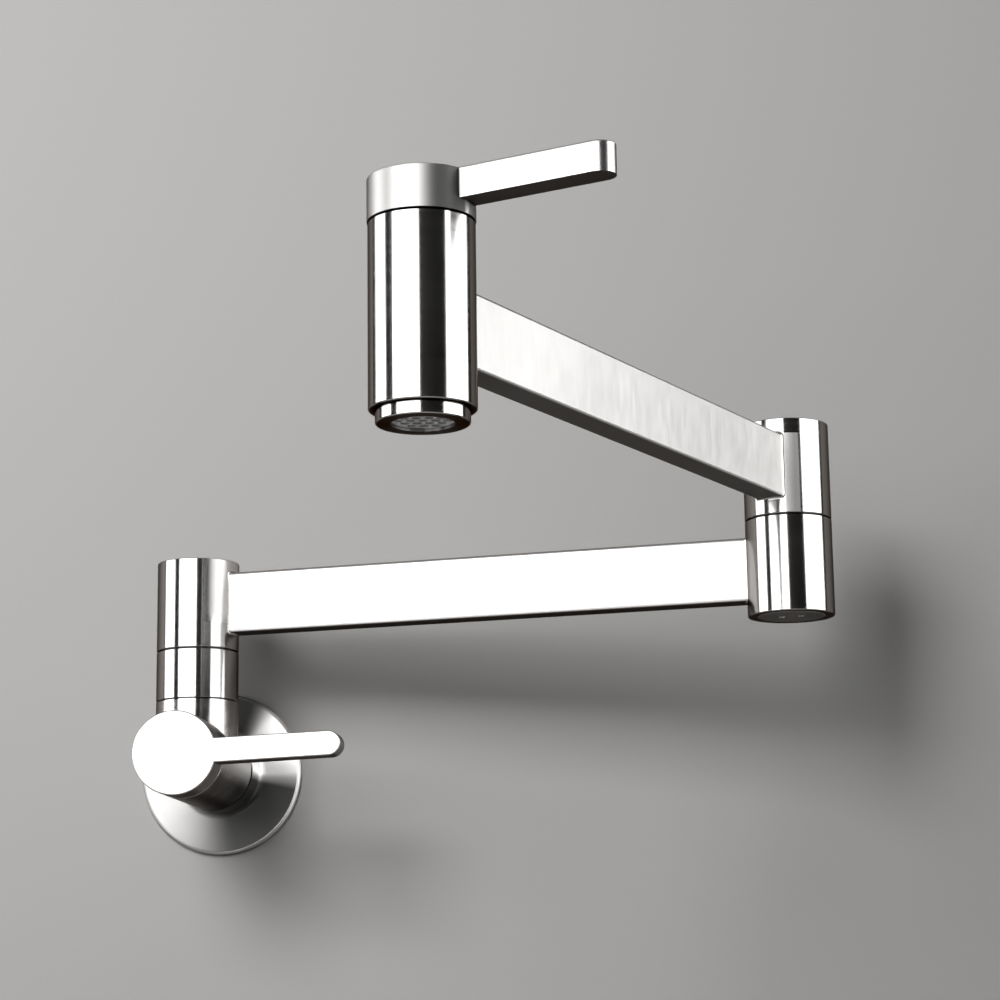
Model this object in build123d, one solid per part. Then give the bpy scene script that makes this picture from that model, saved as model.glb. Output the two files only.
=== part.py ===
from build123d import *
import os
from math import asin, cos, degrees, pi, radians, sin

# Wall mounted pot filler: two flat hollow arms on O-ring swivels, a quarter-turn
# ceramic valve at the wall and another at the spout.
#
# Lengths are in millimetres, angles in degrees. The wall is the plane Y = 0, the
# origin is the centre of the flange on the wall, the pot filler reaches along -Y
# and +Z is up. The wall valve's axis runs along Y through the origin.

# --- Places of the axes ------------------------------------------------------

STANDOFF = 46.4            # wall to the riser axis
ARM_1_REACH = 235.4        # riser axis to elbow axis
ARM_2_REACH = 253.0        # elbow axis to spout axis
ARM_1_TURN = -9.9          # rest direction of the first arm, counted from +X
ARM_2_TURN = -114.3        # rest direction of the second arm, counted from +X
WALL_LEVER_TURN = 2.1      # rest direction of the wall lever, up from +X
SPOUT_LEVER_TURN = -23.0   # rest direction of the spout lever, counted from +X

# --- Turned barrels ----------------------------------------------------------

BARREL_RADIUS = 16.0       # valve body, riser, elbow and handles
SPOUT_RADIUS = 15.8
EDGE_BREAK = 0.3           # chamfer on the turned ends
SEAM = 0.5                 # open seam between neighbouring barrels
FOOT_STEP = 0.8            # depth of the dark groove at the foot of the riser's ring
BODY_BEHIND = 28.0         # level barrel of the valve body, behind the riser axis
BODY_AHEAD = 24.8          # and ahead of it
RISER_HEIGHT = 23.2        # valve axis to the top of the riser stub
COLLAR_HEIGHT = 19.75      # visible ring of the riser post
RISER_BARREL_LENGTH = 34.9
RISER_ARM_OFFSET = 18.15   # lower face of the riser barrel to the arm's centre line
ELBOW_BARREL_LENGTH = 35.5
ELBOW_TOP_WALL = 3.5
SPOUT_ABOVE_ARM = 27.85    # arm's centre line to the top of the spout barrel
SPOUT_BELOW_ARM = 27.85

# --- Arms --------------------------------------------------------------------

ARM_DEPTH = 23.7
ARM_THICKNESS = 10.8
ARM_WALL = 1.6
ARM_CORNER = 1.1           # outer corner radius of the bar
CORNER_MIN = 0.2           # least inner corner radius

# --- Flange and inlet --------------------------------------------------------

FLANGE_RADIUS = 32.6
FLANGE_THICKNESS = 3.0
FLANGE_ROUND = 1.5         # rounded front rim
NECK_WALL = 2.2
NECK_ROOT = 2.5            # fillet between the neck and the plate
GASKET_DEPTH = 1.6
GASKET_BORDER = 3.5        # metal rim left outside the gasket
SHANK_PLAY = 0.3
FLANGE_O_RING_INSET = 4.0  # O-ring centre to the back of the level barrel
INLET_RADIUS = 9.32        # crest of a G1/2 inside thread
INLET_DEPTH = 14.0
SPIGOT_WALL = 3.5          # spigot around its waterway
PASSAGE_WALL = 1.5         # between the inlet and the riser's waterway

# --- O-rings, seals and washers ----------------------------------------------

ORING_SECTION = 2.0
GROOVE_SIDE = 0.25         # room at each side of an O-ring in its groove
ORING_GAP = 0.06           # left to the bore that turns on an O-ring
WASHER_PLAY = 0.15
THRUST_WASHER = 1.5
THRUST_WALL = 2.8          # barrel wall around the thrust washer
RETAINER_WASHER = 1.0

# --- Swivels -----------------------------------------------------------------

PLUG_WALL = 3.5            # barrel wall around the end plug
GALLERY_WALL = 3.4         # barrel wall around the water gallery
SPIGOT_SHOULDER = 2.5      # end plug's radius beyond the spigot's
RUNNING_CLEARANCE = 0.04
THREAD_STEP = 0.4          # male thread's crest beyond the spigot
THREAD_CLEARANCE = 0.08
POST_THREAD = 10.0
ELBOW_THREAD = 8.0
POST_SEAL = 1.6
SPIGOT_FLANGE_HEIGHT = 2.5
SPIGOT_FLANGE_PLAY = 0.1
GALLERY_HEIGHT = 14.0
WINDOW_RADIUS = 3.2
WINDOW_COUNT = 4
CIRCLIP_THICKNESS = 1.2
CIRCLIP_BITE = 0.9         # depth of the circlip in the spigot
CIRCLIP_PROUD = 1.8        # circlip's rim beyond the spigot
CIRCLIP_GAP = 70.0         # opening of the circlip
SPIGOT_LIP = 0.9           # spigot beyond its circlip
PLUG_THICKNESS = 2.5
PLUG_GAP = 0.7             # free space between the spigot's end and the plug
SPANNER_HOLE = 1.15
SPANNER_SPREAD = 3.6
SPANNER_DEPTH = 1.6

# --- Quarter-turn valve ------------------------------------------------------

QUARTER = 90.0
RIM_WALL = 2.8             # barrel wall around the hexagon
HEX_PLAY = 0.4
HEX_THICKNESS = 4.5
HEX_SINK = 0.5             # hexagon below the face of the barrel
BONNET_SEAL = 1.0
CARTRIDGE_THREAD = 6.2     # threaded length under the hexagon
THREAD_RUNOUT = 0.8
CAGE_STEP = 1.4            # cartridge thread's crest beyond its cage
CAGE_WALL = 1.4
CAGE_CEILING = 1.0
DISC_PLAY = 0.1
DISC_THICKNESS = 3.0
DISC_FILM = 0.05           # water film between turning faces
SEAT_SEAL = 2.5
SEAT_SEAL_PROUD = 1.2      # seal beyond the end of the cage
SEAT_BORDER = 2.0          # disc's rim beyond the seat's bore
SEAT_WALL = 4.0
TOWER_WALL = 2.3           # seat tower inside the spout barrel
PORT_INNER = 2.6
PORT_BORDER = 1.2          # disc's rim beyond its ports
PORT_SPAN = 76.0
KEY_WIDTH = 2.4
KEY_PLAY = 0.1
DRIVER_WIDTH = 5.0
DRIVER_THICKNESS = 2.4
DRIVER_PLAY = 0.3          # bar end to the outside of the cage
TAB_WIDTH = 2.0
TAB_DEPTH = 1.0
STOP_MARGIN = 2.0          # free turn beyond each stop
VALVE_GALLERY_WALL = 4.5   # barrel wall around the cartridge's cage
STEM_RADIUS = 4.0
STEM_CLEARANCE = 0.05
STEM_ORING_SECTION = 1.5
STEM_ORING_INSET = 2.4     # O-ring centre to the end of the stem's bore
SPLINE_TEETH = 20
SPLINE_TIP = 3.8
SPLINE_ROOT = 3.4
SPLINE_LENGTH = 8.0
SPLINE_PLAY = 0.05

# --- Handles -----------------------------------------------------------------

HUB_THICKNESS = 13.05
HUB_FACE = 3.9             # metal between the hollow and the hub's face
HUB_WALL = 2.8
BOSS_WALL = 3.0            # metal around the splined bore
BOSS_SETBACK = 1.0         # end of the boss, inside the hub's rim
RIB_WIDTH = 8.6            # carries the set screw's thread
LEVER_REACH = 63.3         # hub axis to the tip
LEVER_WIDTH = 9.3
LEVER_THICKNESS = 9.2
HANDLE_ROUND = 0.5
SCREW_RADIUS = 2.4
SCREW_SINK = 6.1           # screw's end below the rim of the hub
SCREW_POINT = 1.3          # radius of the flat point
SCREW_SOCKET = 1.25        # inscribed radius of the hexagon socket
SCREW_SOCKET_DEPTH = 2.4

# --- Aerator -----------------------------------------------------------------

AERATOR_STEP = 2.0         # spout barrel's radius beyond the housing's
AERATOR_DROP = 4.0         # visible height under the spout barrel
AERATOR_THREAD_STEP = 2.0  # housing's rim beyond its thread
AERATOR_THREAD = 8.0
AERATOR_WALL = 1.6         # housing's thread around its bore
AERATOR_LIP = 0.9
AERATOR_LIP_HEIGHT = 1.0
AERATOR_SEAL = 1.5
INSERT_PLAY = 0.1
INSERT_WALL = 1.2
GRID_THICKNESS = 2.0
GRID_CELL = 1.55           # circumscribed radius of one hexagon hole
GRID_PITCH = 3.6
GRID_ROWS = 2              # rings of holes around the middle one
AERATOR_SEAL_WIDTH = 2.3

# --- Sizes that follow -------------------------------------------------------

PLUG_RADIUS = BARREL_RADIUS - PLUG_WALL
GALLERY_RADIUS = BARREL_RADIUS - GALLERY_WALL
THRUST_WASHER_RADIUS = BARREL_RADIUS - THRUST_WALL
VALVE_GALLERY = BARREL_RADIUS - VALVE_GALLERY_WALL
SPIGOT_RADIUS = PLUG_RADIUS - SPIGOT_SHOULDER
SPIGOT_BORE = SPIGOT_RADIUS + RUNNING_CLEARANCE
WATERWAY_RADIUS = SPIGOT_RADIUS - SPIGOT_WALL
CIRCLIP_RADIUS = SPIGOT_RADIUS + CIRCLIP_PROUD
THREAD_RADIUS = SPIGOT_RADIUS + THREAD_STEP
THREAD_BORE = THREAD_RADIUS + THREAD_CLEARANCE
CAGE_RADIUS = THREAD_RADIUS - CAGE_STEP
CHAMBER_RADIUS = CAGE_RADIUS - CAGE_WALL
DISC_RADIUS = CHAMBER_RADIUS - DISC_PLAY
SEAT_RADIUS = DISC_RADIUS - SEAT_BORDER
PORT_OUTER = DISC_RADIUS - PORT_BORDER
HUB_BOSS_RADIUS = SPLINE_TIP + BOSS_WALL
AERATOR_RADIUS = SPOUT_RADIUS - AERATOR_STEP
AERATOR_THREAD_RADIUS = AERATOR_RADIUS - AERATOR_THREAD_STEP
AERATOR_BORE = AERATOR_THREAD_RADIUS - AERATOR_WALL
SPOUT_CHAMBER_RADIUS = AERATOR_THREAD_RADIUS - AERATOR_SEAL_WIDTH
DRIVER_REACH = CAGE_RADIUS - DRIVER_PLAY
THRUST_RECESS = THRUST_WASHER - SEAM
NECK_BORE = BARREL_RADIUS - NECK_WALL
SHANK_RADIUS = NECK_BORE - SHANK_PLAY
RISER_BARREL_BASE = RISER_HEIGHT + COLLAR_HEIGHT + SEAM
ARM_1_HEIGHT = RISER_BARREL_BASE + RISER_ARM_OFFSET
ARM_2_HEIGHT = ARM_1_HEIGHT + ELBOW_BARREL_LENGTH + SEAM
SPOUT_TOP = ARM_2_HEIGHT + SPOUT_ABOVE_ARM
SPOUT_BOTTOM = ARM_2_HEIGHT - SPOUT_BELOW_ARM
ELBOW_SEAM_HEIGHT = ARM_1_HEIGHT + ELBOW_BARREL_LENGTH / 2 + SEAM
BODY_BACK = STANDOFF - BODY_BEHIND
BODY_FRONT = STANDOFF + BODY_AHEAD
FLANGE_O_RING_HEIGHT = BODY_BACK - FLANGE_O_RING_INSET
TOUCH = 1e-3               # tolerance when an edge is looked up
BEYOND = 1.0               # overlength of a cutting tool

# --- Frames ------------------------------------------------------------------


def heading(turn):
    """The level direction at an angle counted from +X."""
    return Vector(cos(radians(turn)), sin(radians(turn)), 0)


RISER_AXIS = Vector(0, -STANDOFF, 0)
ELBOW_AXIS = RISER_AXIS + heading(ARM_1_TURN) * ARM_1_REACH
SPOUT_AXIS = ELBOW_AXIS + heading(ARM_2_TURN) * ARM_2_REACH

# In the wall frame Z is the distance from the wall and Y is up.
WALL_FRAME = Plane((0, 0, 0), x_dir=(1, 0, 0), z_dir=(0, -1, 0)).location
WALL_VALVE_FRAME = WALL_FRAME * Pos(0, 0, BODY_FRONT) * Rot(0, 0, WALL_LEVER_TURN)
ARM_1_FRAME = Pos(RISER_AXIS) * Rot(0, 0, ARM_1_TURN)
ARM_2_FRAME = Pos(ELBOW_AXIS) * Rot(0, 0, ARM_2_TURN)
SPOUT_VALVE_FRAME = Pos(SPOUT_AXIS) * Pos(0, 0, SPOUT_TOP) * Rot(0, 0, SPOUT_LEVER_TURN)

# --- Basic shapes ------------------------------------------------------------


def rod(radius, bottom, top):
    """A round bar on Z between two heights."""
    return Pos(0, 0, bottom) * Cylinder(radius, top - bottom, align=(Align.CENTER, Align.CENTER, Align.MIN))


def ring(inner, outer, bottom, top):
    """A washer on Z between two heights."""
    return rod(outer, bottom, top) - rod(inner, bottom - BEYOND, top + BEYOND)


def block(x_low, x_high, width, bottom, top):
    """A box along X, centred on Y, between two heights."""
    size = (x_high - x_low, width, top - bottom)
    return Pos(x_low, 0, bottom) * Box(*size, align=(Align.MIN, Align.CENTER, Align.MIN))


def barrel(radius, bottom, top):
    """A round bar with both turned ends broken."""
    blank = rod(radius, bottom, top)
    return chamfer(blank.edges().filter_by(GeomType.CIRCLE), EDGE_BREAK)


def circles_at(solid, radius, height):
    """The edges of one radius about Z at one height."""
    rings = solid.edges().filter_by(GeomType.CIRCLE)
    return [e for e in rings if abs(e.radius - radius) < TOUCH and abs(e.arc_center.Z - height) < TOUCH]


def wedge(reach, middle, span, bottom, top):
    """A sector of less than half a turn, wider than the ring it is cut from."""
    far = reach / cos(radians(span / 2)) + BEYOND
    corners = [heading(middle + side * span / 2) * far for side in (-1, 1)]
    outline = make_face(Polyline((0, 0), *corners, close=True))
    return Pos(0, 0, bottom) * extrude(outline, top - bottom)


def o_ring(inner_radius, section, height):
    """An O-ring about Z."""
    return Pos(0, 0, height) * Torus(inner_radius + section / 2, section / 2)


def groove(inner_radius, outer_radius, section, height):
    """The square groove that holds an O-ring on a shaft."""
    half = section / 2 + GROOVE_SIDE
    return ring(inner_radius, outer_radius + BEYOND, height - half, height + half)


def around(count, shape, start=0.0):
    """Copies of a shape spread evenly about Z."""
    return [Rot(0, 0, start + index * 360 / count) * shape for index in range(count)]


# --- Swivel ------------------------------------------------------------------


class Swivel:
    """An O-ring swivel along Z. Its fixed bearing face is at Z = 0.

    The spigot stands up from that face into the barrel, which turns on it. The
    barrel starts one seam above the face and carries an arm at arm_offset.
    """

    def __init__(self, base_radius, base_height, thread, barrel_length, arm_offset):
        self.base_radius = base_radius
        self.base_height = base_height
        self.thread_end = -base_height - thread
        self.low_end = SEAM
        self.high_end = SEAM + barrel_length
        self.gallery_low = arm_offset - GALLERY_HEIGHT / 2
        self.gallery_high = arm_offset + GALLERY_HEIGHT / 2
        self.arm_offset = arm_offset
        closure = RETAINER_WASHER + CIRCLIP_THICKNESS + SPIGOT_LIP + PLUG_GAP + PLUG_THICKNESS
        self.shoulder = self.high_end - closure
        self.circlip_low = self.shoulder + RETAINER_WASHER + DISC_FILM
        self.spigot_end = self.circlip_low + CIRCLIP_THICKNESS + SPIGOT_LIP
        self.o_ring_heights = (
            (SEAM + THRUST_RECESS + self.gallery_low) / 2,
            (self.gallery_high + self.shoulder) / 2,
        )
        self.o_ring_inner = SPIGOT_BORE - ORING_GAP - ORING_SECTION

    def spigot(self):
        """The fixed post: thread, base and spigot with its waterway."""
        base = rod(self.base_radius, -self.base_height, 0)
        if self.base_radius == BARREL_RADIUS:
            foot = SEAM - self.base_height
            base = barrel(self.base_radius, foot, 0) + rod(self.base_radius - FOOT_STEP, -self.base_height, foot)
        post = base + rod(THREAD_RADIUS, self.thread_end, -self.base_height)
        post += rod(SPIGOT_RADIUS, 0, self.spigot_end)
        post = chamfer(circles_at(post, SPIGOT_RADIUS, self.spigot_end), EDGE_BREAK)
        post -= rod(WATERWAY_RADIUS, self.thread_end - BEYOND, self.gallery_high)
        window = Rot(0, QUARTER, 0) * rod(WINDOW_RADIUS, 0, SPIGOT_RADIUS + BEYOND)
        post -= around(WINDOW_COUNT, Pos(0, 0, self.arm_offset) * window, QUARTER / 2)
        for height in self.o_ring_heights:
            post -= groove(self.o_ring_inner, SPIGOT_RADIUS, ORING_SECTION, height)
        return post - self.circlip_hoop()

    def socket(self):
        """What is cut from the part that the post is screwed into."""
        seal = rod(PLUG_RADIUS, -self.base_height - POST_SEAL, -self.base_height)
        thread = rod(THREAD_BORE, self.thread_end, -self.base_height)
        if self.base_radius == BARREL_RADIUS:
            return seal + thread
        return seal + thread + rod(self.base_radius + SPIGOT_FLANGE_PLAY, -self.base_height, BEYOND)

    def seal(self):
        """The O-ring squeezed under the post's base."""
        middle = (THREAD_RADIUS + PLUG_RADIUS) / 2
        return o_ring(middle - POST_SEAL / 2, POST_SEAL, -self.base_height - POST_SEAL / 2)

    def o_rings(self):
        """Both O-rings on the spigot."""
        return [o_ring(self.o_ring_inner, ORING_SECTION, height) for height in self.o_ring_heights]

    def barrel(self, slot_turn):
        """The turning barrel, open to its arm in the direction slot_turn."""
        shell = barrel(BARREL_RADIUS, self.low_end, self.high_end)
        shell -= rod(SPIGOT_BORE, 0, self.shoulder + BEYOND)
        shell -= rod(THRUST_WASHER_RADIUS + WASHER_PLAY, 0, self.low_end + THRUST_RECESS)
        shell -= rod(GALLERY_RADIUS, self.gallery_low, self.gallery_high)
        shell -= rod(PLUG_RADIUS, self.shoulder, self.high_end + BEYOND)
        return shell - Rot(0, 0, slot_turn) * arm_slot(self.arm_offset)

    def thrust_washer(self):
        """The plastic washer that carries the barrel on the bearing face."""
        return ring(SPIGOT_RADIUS + WASHER_PLAY, THRUST_WASHER_RADIUS, 0, THRUST_WASHER)

    def retainer_washer(self):
        """The plastic washer under the circlip."""
        top = self.shoulder + RETAINER_WASHER
        return ring(SPIGOT_RADIUS + WASHER_PLAY, PLUG_RADIUS - WASHER_PLAY, self.shoulder, top)

    def circlip_hoop(self):
        """The closed ring of the circlip, which is also its groove in the spigot."""
        low = self.circlip_low
        return ring(SPIGOT_RADIUS - CIRCLIP_BITE, CIRCLIP_RADIUS, low, low + CIRCLIP_THICKNESS)

    def circlip(self):
        """The open spring ring that keeps the barrel on the spigot."""
        return self.circlip_hoop() - wedge(CIRCLIP_RADIUS, 0, CIRCLIP_GAP, self.shoulder, self.high_end)

    def plug(self):
        """The screwed end plug with its two spanner holes."""
        top = self.high_end
        disc = rod(PLUG_RADIUS, top - PLUG_THICKNESS, top)
        disc = chamfer(circles_at(disc, PLUG_RADIUS, top), EDGE_BREAK)
        hole = Pos(SPANNER_SPREAD, 0, 0) * rod(SPANNER_HOLE, top - SPANNER_DEPTH, top + BEYOND)
        return disc - around(2, hole)


def arm_slot(height):
    """The way for the water from a barrel into the arm, along +X."""
    half = min(GALLERY_HEIGHT, ARM_DEPTH - 2 * ARM_WALL) / 2
    reach = max(BARREL_RADIUS, SPOUT_RADIUS) + BEYOND
    return block(0, reach, ARM_THICKNESS - 2 * ARM_WALL, height - half, height + half)


def arm_tube(reach, height, near_radius, far_radius):
    """A flat hollow bar along X, coped onto the barrels at both ends."""
    inner_corner = max(ARM_CORNER - ARM_WALL, CORNER_MIN)
    section = RectangleRounded(ARM_THICKNESS, ARM_DEPTH, ARM_CORNER)
    section -= RectangleRounded(ARM_THICKNESS - 2 * ARM_WALL, ARM_DEPTH - 2 * ARM_WALL, inner_corner)
    bar = Pos(0, 0, height) * extrude(Plane.YZ * section, reach)
    low = height - ARM_DEPTH
    high = height + ARM_DEPTH
    return bar - rod(near_radius, low, high) - Pos(reach, 0, 0) * rod(far_radius, low, high)


RISER_SWIVEL = Swivel(
    base_radius=BARREL_RADIUS,
    base_height=COLLAR_HEIGHT,
    thread=POST_THREAD,
    barrel_length=RISER_BARREL_LENGTH,
    arm_offset=SEAM + RISER_ARM_OFFSET,
)
ELBOW_SWIVEL = Swivel(
    base_radius=THRUST_WASHER_RADIUS + WASHER_PLAY,
    base_height=SPIGOT_FLANGE_HEIGHT,
    thread=ELBOW_THREAD,
    barrel_length=ELBOW_BARREL_LENGTH,
    arm_offset=SEAM + ELBOW_BARREL_LENGTH / 2,
)

# The elbow's swivel hangs head down: its bearing face looks down on the lower barrel.
RISER_SWIVEL_LIFT = Pos(0, 0, RISER_HEIGHT + COLLAR_HEIGHT)
ELBOW_SWIVEL_LIFT = Pos(0, 0, ELBOW_SEAM_HEIGHT) * Rot(180, 0, 0)

# --- Quarter-turn valve ------------------------------------------------------

# Heights are counted from the face of the barrel, outwards. The lever points
# along +X when the valve is open.
HEX_RECESS = BONNET_SEAL + HEX_THICKNESS + HEX_SINK
HEX_RADIUS = BARREL_RADIUS - RIM_WALL - HEX_PLAY
CARTRIDGE_SHOULDER = -HEX_RECESS - CARTRIDGE_THREAD
CHAMBER_TOP = CARTRIDGE_SHOULDER - CAGE_CEILING
DRIVER_TOP = CHAMBER_TOP - DISC_PLAY
DRIVER_LOW = DRIVER_TOP - DRIVER_THICKNESS
MOVING_DISC_TOP = DRIVER_LOW - DISC_FILM
MOVING_DISC_LOW = MOVING_DISC_TOP - DISC_THICKNESS
FIXED_DISC_TOP = MOVING_DISC_LOW - DISC_FILM
SEAL_TOP = FIXED_DISC_TOP - DISC_THICKNESS
SEAT = SEAL_TOP - SEAT_SEAL
CAGE_END = SEAT + SEAT_SEAL_PROUD
STEM_BORE = STEM_RADIUS + STEM_CLEARANCE
HEX_TOP = -HEX_SINK
STEM_SHOULDER = SEAM + BOSS_SETBACK / 2
SPLINE_LOW = SEAM + BOSS_SETBACK
SPLINE_HIGH = SPLINE_LOW + SPLINE_LENGTH
STEM_O_RINGS = (CHAMBER_TOP + STEM_ORING_INSET, HEX_TOP - STEM_ORING_INSET)
STEM_O_RING_INNER = STEM_BORE - ORING_GAP - STEM_ORING_SECTION
DRIVER_HALF_ANGLE = degrees(asin(DRIVER_WIDTH / 2 / CHAMBER_RADIUS))
WINDOW_SPAN = QUARTER + 2 * DRIVER_HALF_ANGLE + 2 * STOP_MARGIN


def valve_cavity(gallery_floor):
    """What is cut from a barrel for its cartridge and the water around it."""
    tool = rod(HEX_RADIUS + HEX_PLAY, -HEX_RECESS, BEYOND)
    tool += rod(THREAD_BORE, CARTRIDGE_SHOULDER - THREAD_RUNOUT, -HEX_RECESS)
    tool += rod(VALVE_GALLERY, gallery_floor, CARTRIDGE_SHOULDER - THREAD_RUNOUT)
    if gallery_floor < SEAT:
        tool -= rod(SEAT_RADIUS + TOWER_WALL, gallery_floor - BEYOND, SEAT)
    return tool


def cartridge(closing):
    """The brass cartridge. Its side windows also stop the driver bar."""
    body = rod(THREAD_RADIUS, CARTRIDGE_SHOULDER, HEX_TOP) + rod(CAGE_RADIUS, CAGE_END, CARTRIDGE_SHOULDER)
    hexagon = extrude(RegularPolygon(HEX_RADIUS, 6), HEX_THICKNESS)
    body += Pos(0, 0, HEX_TOP - HEX_THICKNESS) * hexagon
    body -= rod(CHAMBER_RADIUS, CAGE_END - BEYOND, CHAMBER_TOP)
    body -= rod(STEM_BORE, CHAMBER_TOP - BEYOND, HEX_TOP + BEYOND)
    middle = QUARTER + closing * QUARTER / 2
    opening = wedge(CAGE_RADIUS, middle, WINDOW_SPAN, MOVING_DISC_LOW + DISC_THICKNESS / 2, CHAMBER_TOP)
    body -= around(2, opening)
    slot_top = FIXED_DISC_TOP + KEY_PLAY
    slot = block(0, CAGE_RADIUS + BEYOND, KEY_WIDTH + 2 * KEY_PLAY, CAGE_END - BEYOND, slot_top)
    return body - around(2, slot, middle + QUARTER)


def bonnet_seal():
    """The flat ring under the hexagon."""
    return ring(THREAD_BORE, HEX_RADIUS, -HEX_RECESS, HEX_TOP - HEX_THICKNESS)


def seat_seal():
    """The rubber ring between the seat and the fixed disc."""
    return ring(SEAT_RADIUS, DISC_RADIUS, SEAT, SEAL_TOP)


def disc_ports(low, high):
    """The two water ports through a ceramic disc."""
    port = wedge(PORT_OUTER, 0, PORT_SPAN, low - BEYOND, high + BEYOND)
    port &= ring(PORT_INNER, PORT_OUTER, low - BEYOND, high + BEYOND)
    return around(2, port)


def fixed_disc(closing):
    """The ceramic disc that is keyed into the cage."""
    disc = rod(DISC_RADIUS, SEAL_TOP, FIXED_DISC_TOP)
    key = block(DISC_RADIUS - BEYOND, CAGE_RADIUS - DISC_PLAY, KEY_WIDTH, SEAL_TOP, FIXED_DISC_TOP)
    disc += around(2, key, closing * QUARTER / 2)
    return disc - disc_ports(SEAL_TOP, FIXED_DISC_TOP)


def moving_disc():
    """The ceramic disc that the stem turns, slotted across its top."""
    disc = rod(DISC_RADIUS, MOVING_DISC_LOW, MOVING_DISC_TOP)
    disc -= disc_ports(MOVING_DISC_LOW, MOVING_DISC_TOP)
    slot_width = TAB_WIDTH + 2 * KEY_PLAY
    slot_low = MOVING_DISC_TOP - TAB_DEPTH - KEY_PLAY
    slot = block(-CAGE_RADIUS, CAGE_RADIUS, slot_width, slot_low, MOVING_DISC_TOP + BEYOND)
    return disc - Rot(0, 0, QUARTER) * slot


def spline(tip, root, bottom, top):
    """A star of straight-sided teeth."""
    points = []
    for index in range(2 * SPLINE_TEETH):
        radius = root if index % 2 else tip
        angle = pi * index / SPLINE_TEETH
        points.append((radius * cos(angle), radius * sin(angle)))
    return Pos(0, 0, bottom) * extrude(make_face(Polyline(*points, close=True)), top - bottom)


def stem():
    """The splined stem with its driver bar."""
    bar = block(-DRIVER_REACH, DRIVER_REACH, DRIVER_WIDTH, DRIVER_LOW, DRIVER_TOP)
    bar += block(-PORT_OUTER, PORT_OUTER, TAB_WIDTH, MOVING_DISC_TOP - TAB_DEPTH, DRIVER_LOW)
    bar &= rod(DRIVER_REACH, SEAT, DRIVER_TOP)
    shaft = rod(STEM_RADIUS, DRIVER_LOW, STEM_SHOULDER)
    for height in STEM_O_RINGS:
        shaft -= groove(STEM_O_RING_INNER, STEM_RADIUS, STEM_ORING_SECTION, height)
    teeth = spline(SPLINE_TIP, SPLINE_ROOT, STEM_SHOULDER, SPLINE_HIGH)
    flat = block(SPLINE_ROOT, SPLINE_TIP + BEYOND, 2 * SPLINE_TIP, SPLINE_LOW, SPLINE_HIGH + BEYOND)
    return Rot(0, 0, QUARTER) * bar + shaft + teeth - Rot(0, 0, QUARTER) * flat


def stem_o_rings():
    """Both O-rings on the stem."""
    return [o_ring(STEM_O_RING_INNER, STEM_ORING_SECTION, height) for height in STEM_O_RINGS]


def set_screw_place():
    """Z along the set screw, outwards, with its origin on the stem's axis."""
    return Rot(0, 0, QUARTER) * Pos(0, 0, (SPLINE_LOW + SPLINE_HIGH) / 2) * Rot(0, QUARTER, 0)


def handle():
    """A round hub with a bar lever flush with its face, hollow at the back."""
    face = SEAM + HUB_THICKNESS
    hollow_radius = BARREL_RADIUS - HUB_WALL
    hollow_top = face - HUB_FACE
    lever_low = face - LEVER_THICKNESS
    tip_centre = LEVER_REACH - LEVER_WIDTH / 2
    lever = block(0, tip_centre, LEVER_WIDTH, lever_low, face)
    lever += Pos(tip_centre, 0, 0) * rod(LEVER_WIDTH / 2, lever_low, face)
    body = rod(BARREL_RADIUS, SEAM, face) + lever
    body = fillet(body.faces().sort_by(Axis.Z)[-1].outer_wire().edges(), HANDLE_ROUND)
    body -= rod(hollow_radius, 0, hollow_top)
    boss = rod(HUB_BOSS_RADIUS, SPLINE_LOW, hollow_top)
    rib = Rot(0, 0, QUARTER) * block(0, BARREL_RADIUS - HUB_WALL / 2, RIB_WIDTH, SPLINE_LOW, hollow_top)
    body += boss + rib
    play = SPLINE_PLAY
    body -= spline(SPLINE_TIP + play, SPLINE_ROOT + play, SPLINE_LOW - BEYOND, SPLINE_HIGH)
    return body - set_screw_place() * rod(SCREW_RADIUS + SPLINE_PLAY, 0, BARREL_RADIUS + BEYOND)


def set_screw():
    """The headless screw whose point locks the hub on the flat of the stem."""
    low = SPLINE_TIP + SPLINE_PLAY
    high = BARREL_RADIUS - SCREW_SINK
    screw = rod(SCREW_RADIUS, low, high) + rod(SCREW_POINT, SPLINE_ROOT, low)
    socket_radius = SCREW_SOCKET / cos(pi / 6)
    hexagon = extrude(RegularPolygon(socket_radius, 6), SCREW_SOCKET_DEPTH + BEYOND)
    socket = Pos(0, 0, high - SCREW_SOCKET_DEPTH) * hexagon
    return set_screw_place() * (screw - socket)


def valve_pieces(place, prefix, closing):
    """All the pieces of one quarter-turn valve, at their place."""
    pieces = {
        "handle": handle(),
        "set_screw": set_screw(),
        "stem": stem(),
        "stem_o_rings": stem_o_rings(),
        "moving_disc": moving_disc(),
        "fixed_disc": fixed_disc(closing),
        "seat_seal": seat_seal(),
        "bonnet_seal": bonnet_seal(),
        "cartridge": cartridge(closing),
    }
    return {f"{prefix}_{name}": placed(place, piece) for name, piece in pieces.items()}


# --- Wall side ---------------------------------------------------------------


def wall_flange():
    """The thin plate on the wall with its short neck."""
    neck_end = BODY_BACK - SEAM
    plate = rod(FLANGE_RADIUS, 0, FLANGE_THICKNESS) + rod(BARREL_RADIUS, 0, neck_end)
    plate = fillet(circles_at(plate, FLANGE_RADIUS, FLANGE_THICKNESS), FLANGE_ROUND)
    plate = fillet(circles_at(plate, BARREL_RADIUS, FLANGE_THICKNESS), NECK_ROOT)
    plate = chamfer(circles_at(plate, BARREL_RADIUS, neck_end), EDGE_BREAK)
    plate -= rod(FLANGE_RADIUS - GASKET_BORDER, -BEYOND, GASKET_DEPTH)
    return plate - rod(NECK_BORE, 0, neck_end + BEYOND)


def flange_gasket():
    """The foam ring pressed on the wall."""
    return ring(NECK_BORE, FLANGE_RADIUS - GASKET_BORDER, 0, GASKET_DEPTH)


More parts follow.
